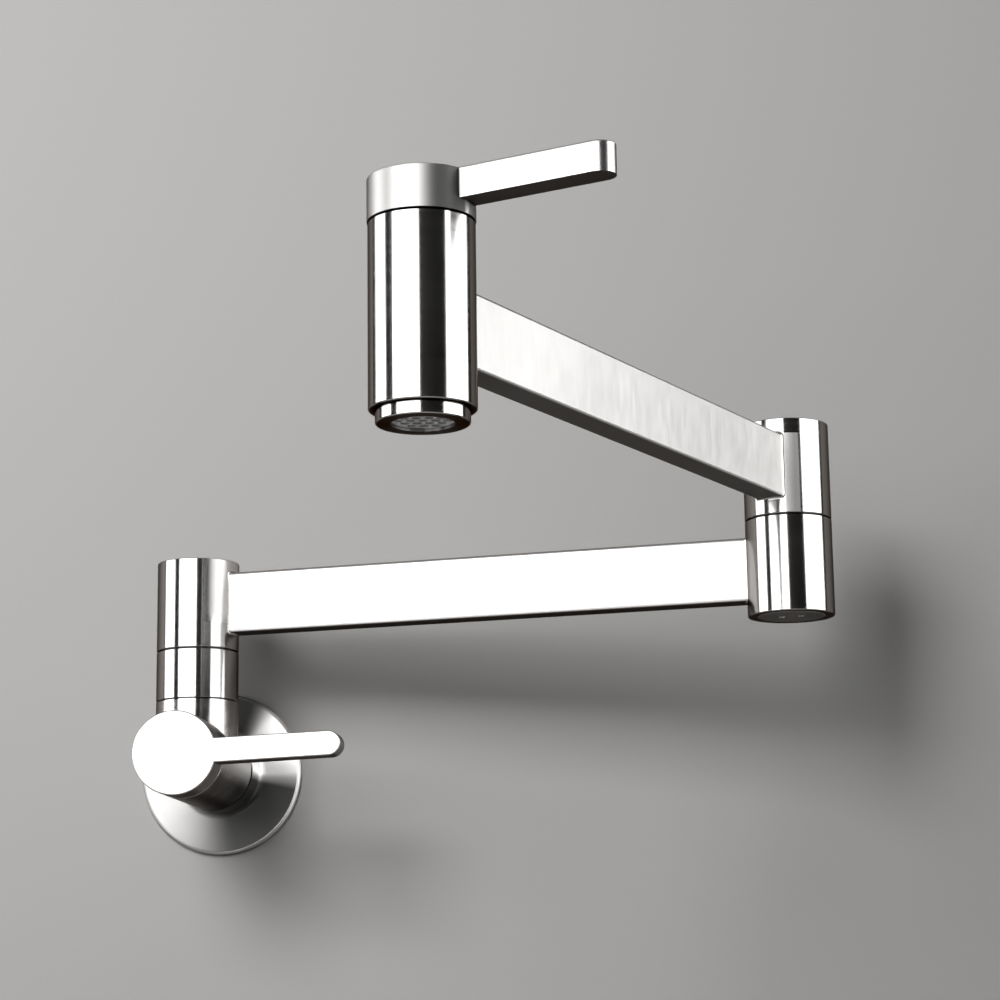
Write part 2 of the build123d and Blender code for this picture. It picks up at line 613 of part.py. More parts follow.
def flange_o_ring():
    """The O-ring on the shank that holds the flange by friction."""
    return o_ring(NECK_BORE - ORING_SECTION, ORING_SECTION, FLANGE_O_RING_HEIGHT)


def valve_body():
    """Level barrel, riser stub and inlet shank, with their waterways."""
    body = barrel(BARREL_RADIUS, BODY_BACK, BODY_FRONT)
    riser_place = Pos(0, 0, STANDOFF) * Rot(-QUARTER, 0, 0)
    body += riser_place * rod(BARREL_RADIUS, 0, RISER_HEIGHT)
    body += rod(SHANK_RADIUS, 0, BODY_BACK)
    body -= groove(NECK_BORE - ORING_SECTION, SHANK_RADIUS, ORING_SECTION, FLANGE_O_RING_HEIGHT)
    body -= rod(INLET_RADIUS, 0, INLET_DEPTH)
    body -= rod(WATERWAY_RADIUS, 0, BODY_FRONT + SEAT - SEAT_WALL)
    body -= rod(SEAT_RADIUS, 0, BODY_FRONT + SEAL_TOP)
    body -= Pos(0, 0, BODY_FRONT) * valve_cavity(SEAT)
    socket = Pos(0, 0, RISER_HEIGHT + COLLAR_HEIGHT) * RISER_SWIVEL.socket()
    socket += rod(WATERWAY_RADIUS, WATERWAY_RADIUS + PASSAGE_WALL, RISER_HEIGHT)
    return body - riser_place * socket


# --- Spout -------------------------------------------------------------------


def elbow_upper_barrel():
    """The closed barrel that carries the second arm over the elbow."""
    top = ELBOW_SEAM_HEIGHT + ELBOW_BARREL_LENGTH
    shell = barrel(BARREL_RADIUS, ELBOW_SEAM_HEIGHT, top)
    shell -= ELBOW_SWIVEL_LIFT * ELBOW_SWIVEL.socket()
    shell -= rod(GALLERY_RADIUS, ELBOW_SEAM_HEIGHT - ELBOW_SWIVEL.thread_end, top - ELBOW_TOP_WALL)
    return shell - arm_slot(ARM_2_HEIGHT)


def spout_barrel():
    """The long barrel with the valve above and the aerator below."""
    gallery_floor = ARM_2_HEIGHT - GALLERY_HEIGHT / 2
    thread_top = SPOUT_BOTTOM + AERATOR_THREAD + AERATOR_SEAL
    body = barrel(SPOUT_RADIUS, SPOUT_BOTTOM, SPOUT_TOP)
    body -= Pos(0, 0, SPOUT_TOP) * valve_cavity(gallery_floor - SPOUT_TOP)
    body -= rod(SEAT_RADIUS, SPOUT_BOTTOM, SPOUT_TOP + SEAL_TOP)
    body -= rod(SPOUT_CHAMBER_RADIUS, SPOUT_BOTTOM, gallery_floor - SEAT_WALL)
    body -= rod(AERATOR_THREAD_RADIUS + THREAD_CLEARANCE, SPOUT_BOTTOM - BEYOND, thread_top)
    slot = arm_slot(ARM_2_HEIGHT) - rod(SEAT_RADIUS + TOWER_WALL, SPOUT_BOTTOM, SPOUT_TOP)
    return body - Rot(0, 0, 180) * slot


def aerator_housing():
    """The screwed ring under the spout with an inward lip at its mouth."""
    mouth = SPOUT_BOTTOM - AERATOR_DROP
    top = SPOUT_BOTTOM + AERATOR_THREAD
    shell = barrel(AERATOR_RADIUS, mouth, SPOUT_BOTTOM) + rod(AERATOR_THREAD_RADIUS, mouth + BEYOND, top)
    shell -= rod(AERATOR_BORE, mouth + AERATOR_LIP_HEIGHT, top + BEYOND)
    return shell - rod(AERATOR_BORE - AERATOR_LIP, mouth - BEYOND, top)


def aerator_seal():
    """The flat rubber ring above the housing and its insert."""
    low = SPOUT_BOTTOM + AERATOR_THREAD
    return ring(SPOUT_CHAMBER_RADIUS, AERATOR_THREAD_RADIUS, low, low + AERATOR_SEAL)


def aerator_insert():
    """The plastic cup with a honeycomb floor that straightens the water."""
    low = SPOUT_BOTTOM - AERATOR_DROP + AERATOR_LIP_HEIGHT
    high = SPOUT_BOTTOM + AERATOR_THREAD
    radius = AERATOR_BORE - INSERT_PLAY
    cup = rod(radius, low, high) - rod(radius - INSERT_WALL, low + GRID_THICKNESS, high + BEYOND)
    cell = Pos(0, 0, low - BEYOND) * extrude(RegularPolygon(GRID_CELL, 6), GRID_THICKNESS + 2 * BEYOND)
    cells = []
    for row in range(-GRID_ROWS, GRID_ROWS + 1):
        for step in range(-GRID_ROWS, GRID_ROWS + 1):
            if abs(row + step) <= GRID_ROWS:
                cells.append(Pos(GRID_PITCH * (step + row / 2), GRID_PITCH * row * sin(pi / 3), 0) * cell)
    return cup - cells


# --- Assembly ----------------------------------------------------------------


def placed(place, piece):
    """A solid, or a list of separate solids, moved to its place."""
    if isinstance(piece, list):
        return Compound(children=[place * solid for solid in piece])
    return place * piece


def root_pieces():
    """What stays on the wall."""
    lift = Pos(RISER_AXIS) * RISER_SWIVEL_LIFT
    return {
        "wall_flange": WALL_FRAME * wall_flange(),
        "flange_gasket": WALL_FRAME * flange_gasket(),
        "flange_o_ring": WALL_FRAME * flange_o_ring(),
        "valve_body": WALL_FRAME * valve_body(),
        "riser_post": lift * RISER_SWIVEL.spigot(),
        "riser_seal": lift * RISER_SWIVEL.seal(),
        "riser_o_rings": placed(lift, RISER_SWIVEL.o_rings()),
        "riser_circlip": lift * RISER_SWIVEL.circlip(),
    }


def arm_1_pieces():
    """The first arm with both its barrels."""
    near = ARM_1_FRAME * RISER_SWIVEL_LIFT
    far = ARM_1_FRAME * Pos(ARM_1_REACH, 0, 0) * ELBOW_SWIVEL_LIFT
    return {
        "riser_barrel": near * RISER_SWIVEL.barrel(0),
        "riser_thrust_washer": near * RISER_SWIVEL.thrust_washer(),
        "riser_retainer_washer": near * RISER_SWIVEL.retainer_washer(),
        "riser_plug": near * RISER_SWIVEL.plug(),
        "arm_1_tube": ARM_1_FRAME * arm_tube(ARM_1_REACH, ARM_1_HEIGHT, BARREL_RADIUS, BARREL_RADIUS),
        "elbow_lower_barrel": far * ELBOW_SWIVEL.barrel(180),
        "elbow_thrust_washer": far * ELBOW_SWIVEL.thrust_washer(),
        "elbow_retainer_washer": far * ELBOW_SWIVEL.retainer_washer(),
        "elbow_plug": far * ELBOW_SWIVEL.plug(),
    }


def arm_2_pieces():
    """The second arm with the elbow's spigot and the spout barrel."""
    lift = ARM_2_FRAME * ELBOW_SWIVEL_LIFT
    spout_place = ARM_2_FRAME * Pos(ARM_2_REACH, 0, 0)
    return {
        "elbow_upper_barrel": ARM_2_FRAME * elbow_upper_barrel(),
        "elbow_spigot": lift * ELBOW_SWIVEL.spigot(),
        "elbow_seal": lift * ELBOW_SWIVEL.seal(),
        "elbow_o_rings": placed(lift, ELBOW_SWIVEL.o_rings()),
        "elbow_circlip": lift * ELBOW_SWIVEL.circlip(),
        "arm_2_tube": ARM_2_FRAME * arm_tube(ARM_2_REACH, ARM_2_HEIGHT, BARREL_RADIUS, SPOUT_RADIUS),
        "spout_barrel": spout_place * spout_barrel(),
        "aerator_housing": spout_place * aerator_housing(),
        "aerator_seal": spout_place * aerator_seal(),
        "aerator_insert": spout_place * aerator_insert(),
    }


def all_pieces():
    """Every piece of the pot filler by name."""
    pieces = root_pieces() | arm_1_pieces() | arm_2_pieces()
    pieces |= valve_pieces(WALL_VALVE_FRAME, "wall", -1)
    pieces |= valve_pieces(SPOUT_VALVE_FRAME, "spout", 1)
    return pieces


os.makedirs("parts", exist_ok=True)
for name, piece in all_pieces().items():
    export_step(piece, f"parts/{name}.step")
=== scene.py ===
"""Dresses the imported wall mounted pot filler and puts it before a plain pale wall."""

import logging
import math
from abc import ABC, abstractmethod
from dataclasses import dataclass, replace
from enum import Enum

import bmesh
import bpy
from mathutils import Euler, Matrix, Vector


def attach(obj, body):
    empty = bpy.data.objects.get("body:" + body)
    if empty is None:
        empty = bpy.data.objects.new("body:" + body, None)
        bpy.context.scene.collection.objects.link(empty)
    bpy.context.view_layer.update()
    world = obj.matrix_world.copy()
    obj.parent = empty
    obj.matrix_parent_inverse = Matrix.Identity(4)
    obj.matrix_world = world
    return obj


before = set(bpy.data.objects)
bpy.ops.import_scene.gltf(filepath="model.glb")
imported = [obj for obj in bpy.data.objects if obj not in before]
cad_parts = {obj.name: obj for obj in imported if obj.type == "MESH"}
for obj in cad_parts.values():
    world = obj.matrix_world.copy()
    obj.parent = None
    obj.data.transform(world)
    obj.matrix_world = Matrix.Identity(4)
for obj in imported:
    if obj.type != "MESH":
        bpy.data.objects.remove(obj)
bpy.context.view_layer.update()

log = logging.getLogger("pot_filler")

MM = 0.001
QUARTER_TURN = math.pi / 2
SHARP_ANGLE = math.radians(35.0)
BARREL_RADIUS = 16.0 * MM
SPOUT_RADIUS = 15.8 * MM
SIDE_START = 15.9 * MM      # the side of a barrel or a hub that gets painted light lies further out than this
Span = tuple[float, float]
Triple = tuple[float, float, float]
Colour = tuple[float, float, float, float]
Feed = bpy.types.NodeSocket | float | tuple[float, ...] | None
ORIGIN = (0.0, 0.0, 0.0)
MARK_LENGTH = 30.0 * MM
MARK_PITCH = 0.25 * MM
MARK_SIZES = {"Mark Length": MARK_LENGTH, "Mark Pitch": MARK_PITCH}


# --- Node building -----------------------------------------------------------


@dataclass
class Desk:
    """A node tree with short ways to add and join its nodes."""

    tree: bpy.types.NodeTree

    def add(self, kind: str, *joins: Feed, **settings: object) -> bpy.types.Node:
        """Adds one node.

        Args:
            kind: Blender's name of the node type.
            joins: What goes into the first inputs: sockets, numbers, colours, or None to pass one over.
            settings: Properties of the node.

        Returns:
            The new node.
        """
        node = self.tree.nodes.new(kind)
        for name, value in settings.items():
            setattr(node, name, value)
        for socket, value in zip(node.inputs, joins):
            self.feed(socket, value)
        return node

    def feed(self, socket: bpy.types.NodeSocket, value: Feed) -> None:
        """Joins an output to an input, or sets the input's own value.

        Args:
            socket: The input.
            value: An output socket, a plain value, or None to leave the input alone.
        """
        if isinstance(value, bpy.types.NodeSocket):
            self.tree.links.new(value, socket)
        elif value is not None:
            socket.default_value = value

    def math(self, operation: str, *values: Feed) -> bpy.types.NodeSocket:
        """The result of a Math node with the named operation."""
        return self.add("ShaderNodeMath", *values, operation=operation).outputs[0]

    def vector(self, operation: str, *values: Feed) -> bpy.types.NodeSocket:
        """The vector that a Vector Math node with the named operation gives."""
        return self.add("ShaderNodeVectorMath", *values, operation=operation).outputs[0]

    def measure(self, operation: str, *values: Feed) -> bpy.types.NodeSocket:
        """The number that a Vector Math node gives, such as a length."""
        return self.add("ShaderNodeVectorMath", *values, operation=operation).outputs["Value"]

    def split(self, vector: Feed) -> bpy.types.bpy_prop_collection:
        """The three parts of a vector, as sockets."""
        return self.add("ShaderNodeSeparateXYZ", vector).outputs

    def join(self, *parts: Feed) -> bpy.types.NodeSocket:
        """The vector that is made of up to three parts."""
        return self.add("ShaderNodeCombineXYZ", *parts).outputs[0]

    def noise(
        self, place: Feed, scale: Feed = 1.0, detail: float = 2.0, roughness: float = 0.5
    ) -> bpy.types.NodeSocket:
        """A noise from 0 to 1, with as many humps in a length of 1 as its scale."""
        return self.add("ShaderNodeTexNoise", place, None, scale, detail, roughness).outputs[0]

    def spread(
        self, value: Feed, low: Feed, high: Feed, to_low: float = 0.0, to_high: float = 1.0
    ) -> bpy.types.NodeSocket:
        """Maps a value smoothly from the range between low and high to the one between to_low and to_high."""
        ends = (low, high, to_low, to_high)
        return self.add("ShaderNodeMapRange", value, *ends, interpolation_type="SMOOTHSTEP").outputs[0]

    def weigh(self, first: Feed, second: Feed, part: float) -> bpy.types.NodeSocket:
        """The first value by its part, from 0 to 1, plus the second by the rest."""
        return self.math("ADD", self.math("MULTIPLY", first, part), self.math("MULTIPLY", second, 1.0 - part))

    def blend(self, share: Feed, first: Feed, second: Feed, kind: str = "FLOAT") -> bpy.types.NodeSocket:
        """Mixes two values or two colours.

        Args:
            share: How much of the second there is, from 0 to 1.
            first: The value or colour at 0.
            second: The value or colour at 1.
            kind: FLOAT for values, RGBA for colours.

        Returns:
            The mix's socket.
        """
        mix = self.add("ShaderNodeMix", data_type=kind)
        start, end = (2, 0) if kind == "FLOAT" else (6, 2)
        for place, value in zip((0, start, start + 1), (share, first, second)):
            self.feed(mix.inputs[place], value)
        return mix.outputs[end]

    def group(self, tree: bpy.types.NodeTree, **values: Feed) -> bpy.types.bpy_prop_collection:
        """Places a shared effect.

        Args:
            tree: The effect's group.
            values: The group's inputs, with _ for a space.

        Returns:
            The outputs of the placed group.
        """
        node = self.add("ShaderNodeGroup", node_tree=tree)
        for label, value in values.items():
            self.feed(node.inputs[label.replace("_", " ")], value)
        return node.outputs


def open_group(
    name: str, inputs: dict[str, float | Triple], outputs: tuple[str, ...]
) -> tuple[Desk, bpy.types.bpy_prop_collection, bpy.types.bpy_prop_collection]:
    """Starts a shader node group.

    Args:
        name: The group's name.
        inputs: Each input's name with its default, a number for a value or a triple for a vector.
        outputs: The names of the values that the group puts out.

    Returns:
        The group's desk, the sockets that bring its inputs, and the sockets that take its outputs.
    """
    group = bpy.data.node_groups.new(name, "ShaderNodeTree")
    for label, default in inputs.items():
        kind = "NodeSocketVector" if isinstance(default, tuple) else "NodeSocketFloat"
        group.interface.new_socket(label, in_out="INPUT", socket_type=kind).default_value = default
    for label in outputs:
        group.interface.new_socket(label, in_out="OUTPUT", socket_type="NodeSocketFloat")
    desk = Desk(group)
    return desk, desk.add("NodeGroupInput").outputs, desk.add("NodeGroupOutput").inputs


def open_material(name: str) -> tuple[bpy.types.Material, Desk, bpy.types.Node]:
    """Starts a material.

    Args:
        name: Its name.

    Returns:
        The material, its desk and its shader.
    """
    material = bpy.data.materials.new(name)
    material.use_nodes = True
    desk = Desk(material.node_tree)
    return material, desk, desk.tree.nodes["Principled BSDF"]


@dataclass
class Effects:
    """The surface effects that several finishes share, with the spans that they fade over."""

    fine_part: float = 0.62
    wide_marks: Triple = (1.7, 0.16, 0.16)
    streak_span: Span = (0.3, 0.7)
    smudge_span: Span = (0.32, 0.68)
    rim_span: Span = (0.995, 0.9)
    # spans of the painted seam shade, the painted under shade and the painted corner highlight
    seam_span: Span = (0.3, 0.9)
    face_span: Span = (0.8, 0.95)
    corner_rise: Span = (0.12, 0.3)
    corner_fall: Span = (0.6, 0.78)

    def __post_init__(self) -> None:
        """Builds every group."""
        self.marks = self.brush_marks()
        self.turned = self.turned_marks()
        self.smudge = self.smudges()
        self.rim = self.rubbed_and_highlit_rims()
        self.cells = self.foam_cells()
        self.gap = self.painted_seam_shade()
        self.painted_zones = self.painted_zone_mask()
        self.under = self.under_shade_and_highlight()

    def brush_marks(self) -> bpy.types.NodeTree:
        """Fine straight brush marks that run along X.

        Returns:
            The group. Height is the depth of the marks and Streak is how rough each one is.
        """
        inputs = {"Position": ORIGIN, **MARK_SIZES}
        desk, given, out = open_group("brush_marks", inputs, ("Height", "Streak"))
        parts = desk.split(given["Position"])
        along = desk.math("DIVIDE", parts[0], given["Mark Length"])
        across = desk.math("DIVIDE", parts[1], given["Mark Pitch"])
        depth = desk.math("DIVIDE", parts[2], given["Mark Pitch"])
        place = desk.join(along, across, depth)
        fine = desk.noise(place, roughness=0.55)
        wide = desk.noise(desk.vector("MULTIPLY", place, self.wide_marks))
        desk.feed(out["Height"], fine)
        desk.feed(out["Streak"], desk.spread(desk.weigh(fine, wide, self.fine_part), *self.streak_span))
        return desk.tree

    def turned_marks(self) -> bpy.types.NodeTree:
        """The same marks laid in rings about Z.

        Returns:
            The group, with the outputs of the straight marks.
        """
        inputs = {"Position": ORIGIN, "Radius": BARREL_RADIUS, **MARK_SIZES}
        desk, given, out = open_group("turned_marks", inputs, ("Height", "Streak"))
        flat = desk.vector("MULTIPLY", given["Position"], (1.0, 1.0, 0.0))
        around = desk.split(desk.vector("NORMALIZE", flat))
        along = desk.math("MULTIPLY", around[0], given["Radius"])
        side = desk.math("MULTIPLY", around[1], given["Radius"])
        squeeze = desk.math("DIVIDE", given["Mark Pitch"], given["Mark Length"])
        across = desk.math("ADD", desk.split(given["Position"])[2], desk.measure("LENGTH", flat))
        place = desk.join(along, across, desk.math("MULTIPLY", side, squeeze))
        sizes = {"Mark_Length": given["Mark Length"], "Mark_Pitch": given["Mark Pitch"]}
        marks = desk.group(self.marks, Position=place, **sizes)
        for label in ("Height", "Streak"):
            desk.feed(out[label], marks[label])
        return desk.tree

    def smudges(self) -> bpy.types.NodeTree:
        """Soft uneven patches, as left by wiping.

        Returns:
            The group. Mask goes from 0 to 1.
        """
        inputs = {"Position": ORIGIN, "Size": 0.02}
        desk, given, out = open_group("smudges", inputs, ("Mask",))
        scale = desk.math("DIVIDE", 1.0, given["Size"])
        soft = desk.noise(given["Position"], scale, detail=3.0, roughness=0.55)
        desk.feed(out["Mask"], desk.spread(soft, *self.smudge_span))
        return desk.tree

    def rubbed_and_highlit_rims(self) -> bpy.types.NodeTree:
        """Finds the rims, which rubbing polishes and which get a painted highlight.

        Returns:
            The group. Mask is 1 on an edge and 0 away from it.
        """
        desk, given, out = open_group("rubbed_and_highlit_rims", {"Reach": 0.0005}, ("Mask",))
        round_off = desk.add("ShaderNodeBevel", given["Reach"], samples=4).outputs[0]
        true = desk.add("ShaderNodeNewGeometry").outputs["Normal"]
        desk.feed(out["Mask"], desk.spread(desk.measure("DOT_PRODUCT", round_off, true), *self.rim_span))
        return desk.tree

    def painted_seam_shade(self) -> bpy.types.NodeTree:
        """Finds the seams and inner corners that get painted shade.

        Returns:
            The group. Mask is 1 deep in a seam and 0 on open faces.
        """
        desk, given, out = open_group("painted_seam_shade", {"Reach": 0.0012}, ("Mask",))
        free = desk.add("ShaderNodeAmbientOcclusion", None, given["Reach"], samples=6).outputs["AO"]
        desk.feed(out["Mask"], desk.spread(free, *self.seam_span, 1.0, 0.0))
        return desk.tree

    def painted_zone_mask(self) -> bpy.types.NodeTree:
        """A zone of a turned piece that gets painted light, such as a painted highlight on the side of a
        barrel beside an arm.

        Returns:
            The group. Mask is 1 in the zone and fades at its two ends around the piece.
        """
        sines = {"Begin": -0.5, "Full From": -0.3, "Full To": 0.3, "End": 0.5}
        inputs = {"Position": ORIGIN, "Heading": (1.0, 0.0, 0.0), **sines}
        inputs |= {"Bottom": -1.0, "Fade": 0.0001, "Top": 1.0, "Core": 0.0, "Reach": 1.0}
        desk, given, out = open_group("painted_zone_mask", inputs, ("Mask",))
        flat = desk.vector("MULTIPLY", given["Position"], (1.0, 1.0, 0.0))
        away = desk.measure("LENGTH", flat)
        around = desk.vector("NORMALIZE", flat)
        ahead = desk.measure("DOT_PRODUCT", around, given["Heading"])
        sine = desk.split(desk.vector("CROSS_PRODUCT", given["Heading"], around))[2]
        height = desk.split(given["Position"])[2]
        above = desk.math("DIVIDE", desk.math("SUBTRACT", height, given["Bottom"]), given["Fade"])
        limits = (
            desk.spread(sine, given["End"], given["Full To"]),
            desk.math("GREATER_THAN", ahead, 0.0),
            desk.spread(above, 0.0, 1.0),
            desk.math("LESS_THAN", height, given["Top"]),
            desk.math("GREATER_THAN", away, given["Core"]),
            desk.math("LESS_THAN", away, given["Reach"]),
        )
        mask = desk.spread(sine, given["Begin"], given["Full From"])
        for limit in limits:
            mask = desk.math("MULTIPLY", mask, limit)
        desk.feed(out["Mask"], mask)
        return desk.tree

    def under_shade_and_highlight(self) -> bpy.types.NodeTree:
        """Finds the faces that look down, which get painted shade, and the lower corners beside them, which
        get a painted highlight.

        Returns:
            The group. Face is 1 on a level underside and Corner is 1 on the rounded edge that leads to it.
        """
        desk, given, out = open_group("under_shade_and_highlight", {"Steepness": 1.0}, ("Face", "Corner"))
        normal = desk.add("ShaderNodeNewGeometry").outputs["Normal"]
        down = desk.math("MULTIPLY", desk.split(normal)[2], -1.0)
        down = desk.math("MULTIPLY", down, given["Steepness"])
        desk.feed(out["Face"], desk.spread(down, *self.face_span))
        rise = desk.spread(down, *self.corner_rise)
        fall = desk.spread(down, *self.corner_fall, 1.0, 0.0)
        desk.feed(out["Corner"], desk.math("MULTIPLY", rise, fall))
        return desk.tree

    def foam_cells(self) -> bpy.types.NodeTree:
        """The open cells of foam.

        Returns:
            The group. Height is low in the middle of a cell.
        """
        inputs = {"Position": ORIGIN, "Cell": 0.0006}
        desk, given, out = open_group("foam_cells", inputs, ("Height",))
        scale = desk.math("DIVIDE", 1.0, given["Cell"])
        cells = desk.add("ShaderNodeTexVoronoi", given["Position"], None, scale, feature="SMOOTH_F1")
        desk.feed(out["Height"], cells.outputs["Distance"])
        return desk.tree


# --- Axes and worked zones ---------------------------------------------------


@dataclass(frozen=True)
class Axes:
    """A piece's own axes at rest: where they stand and how they are turned."""

    origin: Triple = ORIGIN
    turn: Triple = ORIGIN

    def direction(self, own: Triple | Vector) -> Vector:
        """A direction in the piece's own axes, given in the shared frame."""
        return Euler(self.turn).to_matrix() @ Vector(own)

    def spot(self, own: Triple | Vector) -> Vector:
        """A spot in the piece's own axes, given in the shared frame."""
        return self.direction(own) + Vector(self.origin)

    def ahead(self, length: float) -> Triple:
        """The spot a length along the piece's own X."""
        return tuple(self.spot((length, 0.0, 0.0)))


@dataclass(frozen=True)
class PaintedZone:
    """A zone of painted light: its four edges around the piece in degrees, its roughness, the paleness that
    paints a highlight or a shade, and its limits.
    """

    edges: tuple[float, float, float, float]
    roughness: float
    paleness: float
    metallic: float | None = None
    bottom: float = -1.0
    fade: float = 0.0001
    top: float = 1.0
    core: float = 0.0
    reach: float = 1.0

    def inputs(self) -> dict[str, Feed]:
        """Works out what the zone's effect is given.

        Returns:
            The values of the painted_zone_mask group, with _ for a space.
        """
        middle = (self.edges[0] + self.edges[3]) / 2
        heading = math.radians(middle)
        labels = ("Begin", "Full_From", "Full_To", "End")
        sines = {label: math.sin(math.radians(edge - middle)) for label, edge in zip(labels, self.edges)}
        levels = {"Bottom": self.bottom, "Fade": self.fade, "Top": self.top}
        rings = {"Core": self.core, "Reach": self.reach}
        return {"Heading": (math.cos(heading), math.sin(heading), 0.0), **sines, **levels, **rings}


# --- Finishes ----------------------------------------------------------------


class Lay(Enum):
    """Which way the marks of a metal run, in the piece's own axes."""

    AROUND = "rings about Z"
    ACROSS = "lines square to X"


@dataclass(frozen=True)
class Bench:
    """A material in the making: its nodes, its shader and the position in the piece's own axes."""

    material: bpy.types.Material
    desk: Desk
    shader: bpy.types.Node
    place: bpy.types.NodeSocket

    def roughen(self, height: Feed, depth: float) -> None:
        """Gives the surface a fine relief.

        Args:
            height: The relief, from 0 to 1.
            depth: How deep it is.
        """
        bump = self.desk.add("ShaderNodeBump")
        self.desk.feed(bump.inputs["Distance"], depth)
        self.desk.feed(bump.inputs["Height"], height)
        self.desk.feed(self.shader.inputs["Normal"], bump.outputs[0])


@dataclass
class Surface:
    """The colour, the roughness and the share of metal, while one effect after another is laid over them."""

    desk: Desk
    colour: Feed
    roughness: Feed
    metallic: Feed

    def lay(self, mask: Feed, colour: Colour, roughness: Feed = None, metallic: Feed = None) -> None:
        """Lays an effect over what is there.

        Args:
            mask: Where the effect is, from 0 to 1.
            colour: Its colour.
            roughness: Its roughness, or None to keep what is there.
            metallic: Its share of metal, or None to keep what is there.
        """
        self.colour = self.desk.blend(mask, self.colour, colour, "RGBA")
        if roughness is not None:
            self.roughness = self.desk.blend(mask, self.roughness, roughness)
        if metallic is not None:
            self.metallic = self.desk.blend(mask, self.metallic, metallic)


@dataclass(frozen=True)
class Finish(ABC):
    """What every finish has: a colour, a sheen and the size of its unevenness."""

    label: str
    colour: Triple
    roughness: float
    metallic: float = 0.0
    colour_drift: float = 0.06
    roughness_drift: float = 0.05
    patch: float = 0.02

    @abstractmethod
    def dress(self, effects: Effects, name: str, axes: Axes) -> bpy.types.Material:
        """Makes the material for one piece."""

    def start(self, name: str, axes: Axes) -> Bench:
        """Makes a bare material.

        Args:
            name: The material's name.
            axes: The piece's own axes.

        Returns:
            The material in the making.
        """
        material, desk, shader = open_material(name)
        shader.inputs["Metallic"].default_value = self.metallic
        shared = desk.add("ShaderNodeTexCoord").outputs["Object"]
        own = desk.add("ShaderNodeMapping", shared, axes.origin, axes.turn, vector_type="TEXTURE")
        return Bench(material, desk, shader, own.outputs[0])

    def shade(self, paleness: float) -> Colour:
        """The colour made lighter or darker, up to white."""
        return (*(min(1.0, part * paleness) for part in self.colour), 1.0)

    def tint(self, desk: Desk, uneven: Feed) -> bpy.types.NodeSocket:
        """The colour, which drifts with an unevenness from 0 to 1."""
        half = self.colour_drift / 2
        return desk.blend(uneven, self.shade(1 - half), self.shade(1 + half), "RGBA")

    def sheen(self, desk: Desk, uneven: Feed) -> bpy.types.NodeSocket:
        """The roughness, which drifts with an unevenness from 0 to 1."""
        drift = self.roughness_drift
        return desk.spread(uneven, 0.0, 1.0, self.roughness - drift, self.roughness + drift)


